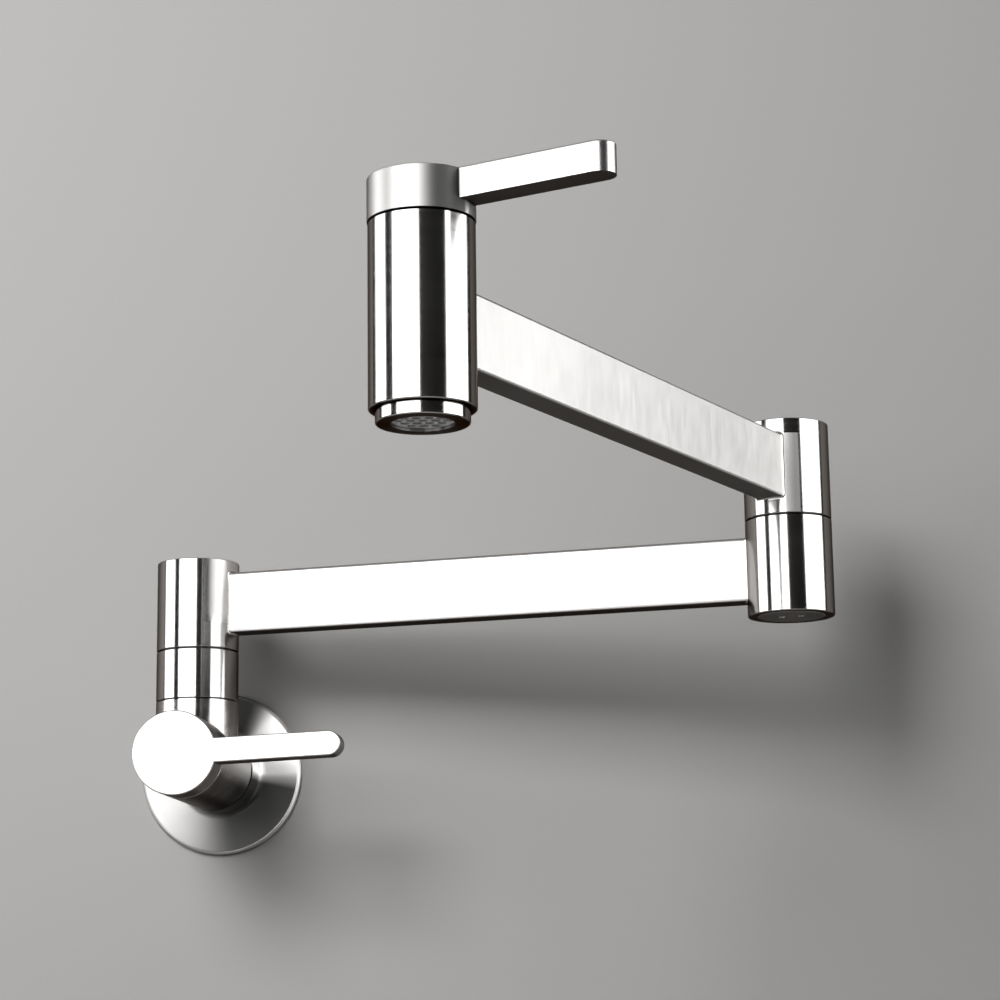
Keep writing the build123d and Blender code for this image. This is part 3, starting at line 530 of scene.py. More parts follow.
@dataclass(frozen=True)
class BrushedMetal(Finish):
    """Metal with fine parallel marks that stretch its reflections across them."""

    metallic: float = 1.0
    edge_tint: Triple = (1.0, 1.0, 1.0)
    stretch: float = 0.8
    mark_length: float = MARK_LENGTH
    mark_pitch: float = MARK_PITCH
    mark_depth: float = 0.00001
    streak_part: float = 0.6
    least_roughness: float = 0.05
    rim_reach: float = 0.0005
    rim_gloss: float = 0.1
    rim_highlight_paleness: float = 1.0
    under_shade_paleness: float = 0.35
    corner_highlight_metallic: float | None = None
    seam_shade_reach: float = 0.0012
    seam_shade_strength: float = 0.9
    lead: float = 0.0

    def dress(
        self,
        effects: Effects,
        name: str,
        axes: Axes,
        lay: Lay = Lay.AROUND,
        radius: float = BARREL_RADIUS,
        painted_zones: tuple[PaintedZone, ...] = (),
    ) -> bpy.types.Material:
        """Makes the metal for one piece.

        Args:
            effects: The shared effects.
            name: The material's name.
            axes: The piece's own axes.
            lay: Which way the marks run.
            radius: The radius that ring marks are measured on.
            painted_zones: The zones of painted highlight and painted shade.

        Returns:
            The material.
        """
        bench = self.start(name, axes)
        desk, shader = bench.desk, bench.shader
        shader.inputs["Anisotropic"].default_value = self.stretch
        shader.inputs["Specular Tint"].default_value = (*self.edge_tint, 1.0)
        marks = self.lay_marks(bench, effects, lay, radius)
        patch = desk.group(effects.smudge, Position=bench.place, Size=self.patch)["Mask"]
        uneven = desk.weigh(marks["Streak"], patch, self.streak_part)
        surface = Surface(desk, self.tint(desk, uneven), self.sheen(desk, uneven), self.metallic)
        self.lay_edges(surface, effects)
        # zones of painted highlight and painted shade, laid over the colour
        for zone in painted_zones:
            mask = desk.group(effects.painted_zones, Position=bench.place, **zone.inputs())["Mask"]
            surface.lay(mask, self.shade(zone.paleness), zone.roughness, zone.metallic)
        # painted shade, laid dark into the seams and inner corners
        gap = desk.group(effects.gap, Reach=self.seam_shade_reach)["Mask"]
        surface.lay(desk.math("MULTIPLY", gap, self.seam_shade_strength), SEAM_SHADE_COLOUR)
        desk.feed(shader.inputs["Metallic"], surface.metallic)
        desk.feed(shader.inputs["Base Color"], surface.colour)
        desk.feed(shader.inputs["Roughness"], desk.math("MAXIMUM", surface.roughness, self.least_roughness))
        desk.feed(shader.inputs["Tangent"], self.across_marks(desk, axes, lay))
        bench.roughen(marks["Height"], self.mark_depth)
        return bench.material

    def lay_edges(self, surface: Surface, effects: Effects) -> None:
        """Paints shade on the faces that look down and a highlight on the lower corners and the rims, and
        makes the rims glossier.

        Args:
            surface: The surface so far.
            effects: The shared effects.
        """
        desk = surface.desk
        rim = desk.group(effects.rim, Reach=self.rim_reach)["Mask"]
        polish = desk.math("MULTIPLY", rim, self.rim_gloss)
        surface.roughness = desk.math("SUBTRACT", surface.roughness, polish)
        under = desk.group(effects.under)
        # a painted highlight, laid on the lower corners and the rims
        edge_highlight = self.shade(self.rim_highlight_paleness)
        # painted shade on the faces that look down
        surface.lay(under["Face"], self.shade(self.under_shade_paleness))
        if self.corner_highlight_metallic is not None:
            surface.lay(under["Corner"], edge_highlight, metallic=self.corner_highlight_metallic)
        surface.lay(rim, edge_highlight)

    def lay_marks(
        self, bench: Bench, effects: Effects, lay: Lay, radius: float
    ) -> bpy.types.bpy_prop_collection:
        """Adds the brush marks the way they run on this piece.

        Args:
            bench: The material in the making.
            effects: The shared effects.
            lay: Which way the marks run.
            radius: The radius that ring marks are measured on.

        Returns:
            The outputs of the marks.
        """
        desk = bench.desk
        sizes = {"Mark_Length": self.mark_length, "Mark_Pitch": self.mark_pitch}
        if lay is Lay.AROUND:
            return desk.group(effects.turned, Position=bench.place, Radius=radius, **sizes)
        parts = desk.split(bench.place)
        place = desk.join(desk.math("ADD", parts[1], parts[2]), parts[0])
        return desk.group(effects.marks, Position=place, **sizes)

    def across_marks(self, desk: Desk, axes: Axes, lay: Lay) -> bpy.types.NodeSocket:
        """The surface direction that lies square to the marks.

        Args:
            desk: The material's desk.
            axes: The piece's own axes.
            lay: Which way the marks run.

        Returns:
            The direction's socket, in world space.
        """
        to_world = {"vector_type": "VECTOR", "convert_from": "OBJECT", "convert_to": "WORLD"}
        turned = desk.add("ShaderNodeVectorTransform", **to_world)
        if lay is Lay.ACROSS:
            turned.inputs[0].default_value = axes.direction((1, 0, 0))
            return turned.outputs[0]
        middle = tuple(axes.direction((0, 0, 1)))
        reach = desk.vector("SUBTRACT", desk.add("ShaderNodeTexCoord").outputs["Object"], axes.origin)
        if self.lead:
            spiral = desk.add("ShaderNodeVectorRotate", reach, rotation_type="AXIS_ANGLE")
            spiral.inputs["Axis"].default_value = middle
            spiral.inputs["Angle"].default_value = self.lead
            reach = spiral.outputs[0]
        desk.feed(turned.inputs[0], desk.vector("CROSS_PRODUCT", middle, reach))
        normal = desk.add("ShaderNodeNewGeometry").outputs["Normal"]
        return desk.vector("CROSS_PRODUCT", normal, turned.outputs[0])


@dataclass(frozen=True)
class PlainSolid(Finish):
    """Rubber, plastic, ceramic or foam: a soft colour with a fine grain."""

    grain: float = 0.0004
    grain_depth: float = 0.00003
    patch_part: float = 0.7
    cells: bool = False

    def dress(self, effects: Effects, name: str, axes: Axes) -> bpy.types.Material:
        """Makes the material for one piece.

        Args:
            effects: The shared effects.
            name: The material's name.
            axes: The piece's own axes.

        Returns:
            The material.
        """
        bench = self.start(name, axes)
        desk, shader = bench.desk, bench.shader
        patch = desk.group(effects.smudge, Position=bench.place, Size=self.patch)["Mask"]
        if self.cells:
            height = desk.group(effects.cells, Position=bench.place, Cell=self.grain)["Height"]
        else:
            height = desk.group(effects.smudge, Position=bench.place, Size=self.grain)["Mask"]
        uneven = desk.weigh(patch, height, self.patch_part)
        desk.feed(shader.inputs["Base Color"], self.tint(desk, uneven))
        desk.feed(shader.inputs["Roughness"], self.sheen(desk, uneven))
        bench.roughen(height, self.grain_depth)
        return bench.material


@dataclass(frozen=True)
class BrushedNickel(BrushedMetal):
    """Brushed nickel, which darkens where it is seen edge-on."""

    colour: Triple = (0.472, 0.468, 0.462)
    roughness: float = 0.34
    edge_tint: Triple = (0.22, 0.19, 0.175)


# the colour of the painted shade in seams and inner corners
SEAM_SHADE_COLOUR = (0.012, 0.011, 0.01, 1.0)
TURNED_NICKEL = BrushedNickel("turned_nickel", roughness=0.18, stretch=0.95, mark_length=0.05)
FLAT_NICKEL = BrushedNickel(
    "flat_nickel",
    (0.51, 0.507, 0.5),
    0.4,
    colour_drift=0.16,
    roughness_drift=0.04,
    patch=0.06,
    stretch=0.85,
    mark_length=0.016,
    mark_pitch=0.0006,
    rim_highlight_paleness=1.7,
    corner_highlight_metallic=0.5,
)
SPUN_NICKEL = BrushedNickel(
    "spun_nickel",
    roughness=0.44,
    stretch=0.95,
    mark_length=0.04,
    rim_highlight_paleness=2.0,
    lead=math.radians(-30.0),
)
SATIN_NICKEL = BrushedNickel("satin_nickel", stretch=0.6, mark_length=0.01, rim_highlight_paleness=1.4)
FACED_NICKEL = BrushedNickel(
    "faced_nickel", roughness=0.5, stretch=0.3, mark_length=0.01, rim_highlight_paleness=2.4, under_shade_paleness=0.5
)
FILLET_NICKEL = BrushedNickel("fillet_nickel", (0.62, 0.615, 0.6), 0.24, stretch=0.4, mark_length=0.004)
BRASS = BrushedMetal("turned_brass", (0.72, 0.5, 0.2), 0.28, stretch=0.5, mark_pitch=0.0004)
STEEL = BrushedMetal("spring_steel", (0.5, 0.5, 0.51), 0.25, stretch=0.3)
RUBBER = PlainSolid("rubber", (0.02, 0.02, 0.021), 0.55, colour_drift=0.3, roughness_drift=0.12)
ACETAL = PlainSolid("acetal", (0.82, 0.82, 0.78), 0.4)
CERAMIC = PlainSolid("lapped_ceramic", (0.86, 0.84, 0.8), 0.16, roughness_drift=0.04, grain_depth=0.000005)
FOAM = PlainSolid("foam", (0.05, 0.05, 0.05), 0.9, colour_drift=0.4, grain_depth=0.0003, cells=True)
AERATOR_PLASTIC = PlainSolid("aerator_plastic", (0.7, 0.7, 0.69), 0.38)


# --- Mesh building -----------------------------------------------------------


def skin(shape: bmesh.types.BMesh, rings: list[list[Vector]], closed: bool) -> None:
    """Covers a row of rings with faces.

    Args:
        shape: The mesh that the faces go into.
        rings: Rings with the same number of points each.
        closed: True where the last ring joins the first, False where the two ends get a cap.
    """
    rows = [[shape.verts.new(point) for point in ring] for ring in rings]
    count = len(rows[0])
    spans = list(zip(rows, rows[1:])) + ([(rows[-1], rows[0])] if closed else [])
    for near, far in spans:
        for index in range(count):
            after = (index + 1) % count
            shape.faces.new((near[index], near[after], far[after], far[index]))
    if not closed:
        shape.faces.new(rows[0])
        shape.faces.new(rows[-1])


def rounded_bar_outline(
    width: float, height: float, corner: float, corner_steps: int = 6, side_steps: int = 8
) -> list[tuple[Vector, Vector]]:
    """The outline of a bar with rounded corners.

    Args:
        width: Its size along the first axis.
        height: Its size along the second axis.
        corner: The radius of its corners.
        corner_steps: The number of steps round a corner.
        side_steps: The number of steps along a side.

    Returns:
        Points around it, each with the direction that leaves the bar there.
    """
    out, up = width / 2 - corner, height / 2 - corner
    centres = [Vector(centre) for centre in ((out, up), (-out, up), (-out, -up), (out, -up))]
    outline = []
    for quadrant, centre in enumerate(centres):
        for step in range(corner_steps + 1):
            angle = (quadrant + step / corner_steps) * QUARTER_TURN
            leaving = Vector((math.cos(angle), math.sin(angle)))
            outline.append((centre + leaving * corner, leaving))
        last, leaving = outline[-1]
        goal = centres[(quadrant + 1) % len(centres)] + leaving * corner
        for step in range(1, side_steps):
            outline.append((last.lerp(goal, step / side_steps), leaving))
    return outline


def put_up(name: str, data: bpy.types.ID) -> bpy.types.Object:
    """Adds an object to the scene.

    Args:
        name: The object's name.
        data: Its mesh, light or camera.

    Returns:
        The object.
    """
    made = bpy.data.objects.new(name, data)
    bpy.context.scene.collection.objects.link(made)
    return made


def to_object(name: str, shape: bmesh.types.BMesh, material: bpy.types.Material) -> bpy.types.Object:
    """Turns a finished shape into an object of the scene.

    Args:
        name: The object's name.
        shape: Its mesh, in the shared frame.
        material: Its material.

    Returns:
        The object.
    """
    mesh = bpy.data.meshes.new(name)
    shape.to_mesh(mesh)
    shape.free()
    mesh.materials.append(material)
    return put_up(name, mesh)


# --- Pieces of the pot filler ------------------------------------------------


@dataclass(frozen=True)
class Layout:
    """Where the sub-assemblies stand at rest, from the riser's set-off and the two arms."""

    set_off: float = 46.4 * MM
    arm_1_reach: float = 235.4 * MM
    arm_1_height: float = 61.6 * MM
    arm_1_heading: float = math.radians(-9.9)
    arm_2_reach: float = 253.0 * MM
    arm_2_height: float = 97.6 * MM
    arm_2_heading: float = math.radians(-114.3)

    @property
    def wall(self) -> Axes:
        """The level axis of the flange and the valve, with Z away from the wall."""
        return Axes(turn=(QUARTER_TURN, 0.0, 0.0))

    @property
    def riser(self) -> Axes:
        """The upright axis of the riser."""
        return Axes((0.0, -self.set_off, 0.0))

    @property
    def arm_1(self) -> Axes:
        """The first arm, with X along it."""
        return Axes(self.riser.origin, (0.0, 0.0, self.arm_1_heading))

    @property
    def elbow(self) -> Axes:
        """The upright axis of the elbow."""
        return Axes(self.arm_1.ahead(self.arm_1_reach))

    @property
    def arm_2(self) -> Axes:
        """The second arm, with X along it."""
        return Axes(self.elbow.origin, (0.0, 0.0, self.arm_2_heading))

    @property
    def spout(self) -> Axes:
        """The upright axis of the spout."""
        return Axes(self.arm_2.ahead(self.arm_2_reach))


@dataclass
class SubAssembly(ABC):
    """A group of pieces that stand on one set of axes."""

    effects: Effects
    prefix: str
    axes: Axes

    @abstractmethod
    def build(self) -> None:
        """Builds and dresses the pieces."""

    def dress(self, finish: Finish, name: str, *nodes: str, **how: object) -> None:
        """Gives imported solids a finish.

        Args:
            finish: Their finish.
            name: Their material's name.
            nodes: Their own names.
            how: How the finish is laid, such as its radius and its zones.
        """
        material = finish.dress(self.effects, name, self.axes, **how)
        for node in nodes:
            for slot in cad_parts[node].material_slots:
                slot.material = material
            log.info("dressed %s in %s", node, name)

    def dress_own(self, finish: Finish, *nodes: str) -> None:
        """Gives solids a finish, where their names and their material's name begin with the prefix."""
        self.dress(finish, f"{self.prefix}_{finish.label}", *(f"{self.prefix}_{node}" for node in nodes))

    def piece(self, name: str, shape: bmesh.types.BMesh, body: str, material: bpy.types.Material) -> None:
        """Makes a nickel piece of a finished shape.

        Args:
            name: The piece's name.
            shape: Its mesh, in the shared frame.
            body: The body that it moves with.
            material: Its material.
        """
        bmesh.ops.recalc_face_normals(shape, faces=shape.faces)
        made = to_object(name, shape, material)
        made.data.shade_smooth()
        made.data.set_sharp_from_angle(angle=SHARP_ANGLE)
        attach(made, body)
        log.info("built %s on %s in %s", name, body, material.name)


@dataclass(frozen=True)
class InletThread:
    """The ridge that winds up the wall of the inlet and fades out at its two ends."""

    radius: float = 9.32 * MM
    depth: float = 14.0 * MM
    pitch: float = 1.814 * MM
    rise: float = 0.8 * MM
    sink: float = 0.1 * MM
    turn_steps: int = 40
    fade_steps: int = 16
    least_rise: float = 0.05        # of the full rise, at the ends
    free_turns: float = 0.6         # without a ridge, at each end
    half_foot: float = 0.36         # of the pitch
    half_crest: float = 0.06        # of the pitch

    def shape(self, axes: Axes) -> bmesh.types.BMesh:
        """Winds the ridge.

        Args:
            axes: The inlet's axes, with Z up the hole.

        Returns:
            The ridge in the shared frame.
        """
        foot = self.radius + self.sink
        steps = int((self.depth / self.pitch - 2 * self.free_turns) * self.turn_steps)
        rings = []
        for step in range(steps + 1):
            full = max(self.least_rise, min(1.0, step / self.fade_steps, (steps - step) / self.fade_steps))
            crest = foot - (self.rise + self.sink) * full
            profile = (
                (foot, -self.half_foot),
                (crest, -self.half_crest),
                (crest, self.half_crest),
                (foot, self.half_foot),
            )
            turns = step / self.turn_steps
            x, y = math.cos(turns * math.tau), math.sin(turns * math.tau)
            start = self.free_turns + turns
            ring = [(reach * x, reach * y, (start + offset) * self.pitch) for reach, offset in profile]
            rings.append([axes.spot(point) for point in ring])
        shape = bmesh.new()
        skin(shape, rings, False)
        return shape


# a painted shadow in the seam between the valve body and the flange's neck
SEAM_SHADOW = PaintedZone((-125.0, -115.0, 0.0, 15.0), 0.9, 0.05, metallic=0.0)


@dataclass
class WallMount(SubAssembly):
    """The flange on the wall and the valve body that stands out of it."""

    flange_radius: float = 32.6 * MM
    rim_start: float = 31.4 * MM
    # painted reflections on the spun flange: sectors made paler or darker, and the painted seam shadow
    flange_painted_zones: tuple[PaintedZone, ...] = (
        PaintedZone((-150.0, -75.0, -14.0, -4.0), 0.42, 0.16, reach=rim_start),
        PaintedZone((-70.0, -30.0, 0.0, 20.0), 0.3, 2.1, metallic=0.6, core=rim_start),
        PaintedZone((-7.0, 1.0, 44.0, 60.0), 0.42, 2.1),
        PaintedZone((46.0, 66.0, 86.0, 110.0), 0.42, 0.2),
        replace(SEAM_SHADOW, bottom=16.8 * MM),
    )
    # a painted highlight on the valve body and the painted seam shadow
    body_painted_zones: tuple[PaintedZone, ...] = (
        PaintedZone((-34.0, -8.0, 0.0, 20.0), 0.4, 1.1, metallic=0.97),
        replace(SEAM_SHADOW, top=19.6 * MM),
    )
    thread: InletThread = InletThread()

    def build(self) -> None:
        """Dresses the flange, its seals and the valve body, and builds the inlet's thread."""
        flange = {"radius": self.flange_radius, "painted_zones": self.flange_painted_zones}
        self.dress(SPUN_NICKEL, "wall_flange_spun", "wall_flange", **flange)
        self.dress(TURNED_NICKEL, "valve_body_turned", "valve_body", painted_zones=self.body_painted_zones)
        cut = SATIN_NICKEL.dress(self.effects, "inlet_thread_cut", self.axes, radius=self.thread.radius)
        self.piece("inlet_thread", self.thread.shape(self.axes), "wall_body", cut)
        self.dress(FOAM, "gasket_foam", "flange_gasket")
        self.dress(RUBBER, "flange_rubber", "flange_o_ring")


@dataclass
class QuarterTurnValve(SubAssembly):
    """A ceramic cartridge with its lever."""

    hub_painted_zones: tuple[PaintedZone, ...] = ()

    def build(self) -> None:
        """Dresses the lever and the pieces of the cartridge."""
        name = f"{self.prefix}_lever_satin"
        self.dress(SATIN_NICKEL, name, f"{self.prefix}_handle", painted_zones=self.hub_painted_zones)
        self.dress_own(BRASS, "cartridge", "stem")
        self.dress_own(STEEL, "set_screw")
        self.dress_own(CERAMIC, "fixed_disc", "moving_disc")
        self.dress_own(RUBBER, "stem_o_rings", "bonnet_seal", "seat_seal")


@dataclass
class SpoutValve(QuarterTurnValve):
    """The valve on the spout, whose hub has painted highlights and a painted shade beside its lever."""

    hub_edge: float = 16.2 * MM
    hub_painted_zones: tuple[PaintedZone, ...] = (
        PaintedZone((-170.0, -150.0, -62.0, -40.0), 0.5, 1.2, core=SIDE_START, reach=hub_edge),
        PaintedZone((-106.0, -92.0, -84.0, -62.0), 0.5, 1.6, metallic=0.8, core=SIDE_START, reach=hub_edge),
        PaintedZone((-84.0, -54.0, -32.0, -26.0), 0.5, 0.2, core=SIDE_START, reach=hub_edge),
    )


@dataclass
class SwivelJoint(SubAssembly):
    """A swivel, with the barrel that carries an arm, the spigot, the plug and what holds and seals them."""

    barrel: str = ""
    plug: str = ""
    spigot: str = ""
    spigot_finish: BrushedMetal = BRASS
    barrel_painted_zones: tuple[PaintedZone, ...] = ()

    def build(self) -> None:
        """Dresses the barrel, the spigot, the plug and what holds and seals them."""
        self.dress(TURNED_NICKEL, f"{self.barrel}_turned", self.barrel, painted_zones=self.barrel_painted_zones)
        self.dress(FACED_NICKEL, f"{self.plug}_faced", self.plug)
        self.dress(self.spigot_finish, f"{self.spigot}_turned", self.spigot)
        self.dress_own(STEEL, "circlip")
        self.dress_own(ACETAL, "thrust_washer", "retainer_washer")
        self.dress_own(RUBBER, "seal", "o_rings")


@dataclass
class RiserSwivel(SwivelJoint):
    """The swivel on the valve body, which carries the first arm."""

    barrel: str = "riser_barrel"
    plug: str = "riser_plug"
    spigot: str = "riser_post"
    spigot_finish: BrushedMetal = TURNED_NICKEL
    painted_zone_bottom: float = 52.0 * MM
    painted_zone_fade: float = 6.0 * MM
    # painted highlights on the side of the barrel
    barrel_painted_zones: tuple[PaintedZone, ...] = (
        PaintedZone((-70.0, -58.0, -6.0, 6.0), 0.55, 1.9, 0.96, painted_zone_bottom, painted_zone_fade, core=SIDE_START),
        PaintedZone((-64.0, -34.0, -6.0, 6.0), 0.4, 2.0, 0.72, painted_zone_bottom, painted_zone_fade, core=SIDE_START),
    )


@dataclass
class ElbowSwivel(SwivelJoint):
    """The swivel between the arms, with the second arm's barrel on the first arm's."""

    barrel: str = "elbow_upper_barrel"
    plug: str = "elbow_plug"
    spigot: str = "elbow_spigot"
    painted_zone_top: float = 109.6 * MM
    # painted highlights on the side of the barrel
    barrel_painted_zones: tuple[PaintedZone, ...] = (
        PaintedZone((-92.5, -91.5, -75.0, -71.5), 0.5, 2.1, metallic=0.93, top=painted_zone_top, core=SIDE_START),
        PaintedZone((-92.5, -91.5, -89.0, -73.0), 0.5, 2.1, metallic=0.68, top=painted_zone_top, core=SIDE_START),
    )

    def build(self) -> None:
        """Dresses the swivel and the first arm's barrel under it."""
        super().build()
        self.dress(TURNED_NICKEL, "elbow_turned", "elbow_lower_barrel")


@dataclass
class Arm(SubAssembly):
    """A flat hollow bar between two barrels, brushed upright, with a polished fillet where it meets each."""

    reach: float
    height: float
    near_radius: float = BARREL_RADIUS
    far_radius: float = BARREL_RADIUS
    depth: float = 23.7 * MM
    thickness: float = 10.8 * MM
    corner: float = 1.1 * MM
    fillet: float = 0.9 * MM
    fillet_steps: int = 6
    sink: float = 0.2 * MM

    def build(self) -> None:
        """Dresses the bar and builds its two fillets."""
        self.dress(FLAT_NICKEL, f"{self.prefix}_brushed", f"{self.prefix}_tube", lay=Lay.ACROSS)
        for end, radius, side in (("near", self.near_radius, 1), ("far", self.far_radius, -1)):
            centre = 0.0 if side > 0 else self.reach
            barrel = Axes(self.axes.ahead(centre), self.axes.turn)
            polished = FILLET_NICKEL.dress(self.effects, f"{self.prefix}_{end}_polished", barrel)
            shape = self.fillet_shape(radius, side, centre)
            self.piece(f"{self.prefix}_{end}_fillet", shape, self.prefix, polished)

    def fillet_shape(self, radius: float, side: int, centre: float) -> bmesh.types.BMesh:
        """The hollow-faced bead that a ball leaves as it rolls around the bar against a barrel.

        Args:
            radius: The barrel's radius.
            side: 1 where the bar leaves the barrel forwards, -1 where it arrives at it.
            centre: Where the barrel's axis stands along the bar.

        Returns:
            The bead in the shared frame.
        """
        rings = []
        shares = [step / self.fillet_steps for step in range(self.fillet_steps + 1)]
        for point, leaving in rounded_bar_outline(self.thickness, self.depth, self.corner):
            ball = point + leaving * self.fillet
            ahead = math.sqrt((radius + self.fillet) ** 2 - ball.x ** 2)
            middle = Vector((ahead, ball.x, ball.y))
            to_bar = Vector((0, -leaving.x, -leaving.y))
            to_barrel = Vector((-ahead, -ball.x, 0)).normalized()
            face = [middle + to_bar.slerp(to_barrel, share) * self.fillet for share in shares]
            bed = Vector((math.sqrt(radius ** 2 - point.x ** 2) - self.sink, point.x, point.y))
            ring = [*face, bed + to_bar * self.sink]
            rings.append([self.near_barrel(side, centre, spot) for spot in ring])
        shape = bmesh.new()
        skin(shape, rings, True)
        return shape

    def near_barrel(self, side: int, centre: float, spot: Vector) -> Vector:
        """A spot given away from a barrel, across and up the bar, in the shared frame."""
        return self.axes.spot((centre + side * spot.x, spot.y, spot.z + self.height))


@dataclass
class SpoutHead(SubAssembly):
    """The long barrel at the end with the aerator under it."""

    radius: float = SPOUT_RADIUS

    def build(self) -> None:
        """Dresses the barrel and the aerator."""
        self.dress(TURNED_NICKEL, "spout_turned", "spout_barrel", "aerator_housing", radius=self.radius)
        self.dress(RUBBER, "aerator_rubber", "aerator_seal")
        self.dress(AERATOR_PLASTIC, "aerator_insert_plastic", "aerator_insert")


# --- Studio ------------------------------------------------------------------


@dataclass(frozen=True)
class Panel:
    """An upright rectangle between two points of the plan, as a lamp or as a dark card."""

    name: str
    start: Span
    end: Span
    bottom: float
    top: float
    radiance: float = 0.0
    fills: bool = True

    @property
    def centre(self) -> Vector:
        """The middle of the panel."""
        return (Vector((*self.start, self.bottom)) + Vector((*self.end, self.top))) / 2

    @property
    def size(self) -> Span:
        """The panel's length in plan and its height."""
        return math.dist(self.start, self.end), self.top - self.bottom

    def corners(self) -> list[Triple]:
        """The four corners, in order."""
        low, high = self.bottom, self.top
        return [(*self.start, low), (*self.end, low), (*self.end, high), (*self.start, high)]

    def towards(self, target: Vector) -> Matrix:
        """The panel's place with its -Z to the side where a point is.

        Args:
            target: The point that the panel faces.

        Returns:
            The matrix of an object whose X runs along the panel and whose -Z leaves its face.
        """
        up = Vector((0, 0, 1))
        along = (Vector((*self.end, 0)) - Vector((*self.start, 0))).normalized()
        back = along.cross(up)
        if back.dot(target - self.centre) > 0:
            along = -along
            back = -back
        return Matrix.Translation(self.centre) @ Matrix((along, up, back)).transposed().to_4x4()


@dataclass(frozen=True)
class Key:
    """A square soft lamp that is aimed at the pot filler."""

    name: str
    place: Triple
    width: float
    radiance: float

    def towards(self, target: Vector) -> Matrix:
        """The lamp's place with its -Z to a point."""
        back = Vector(self.place) - target
        return Matrix.Translation(self.place) @ back.to_track_quat("Z", "Y").to_matrix().to_4x4()


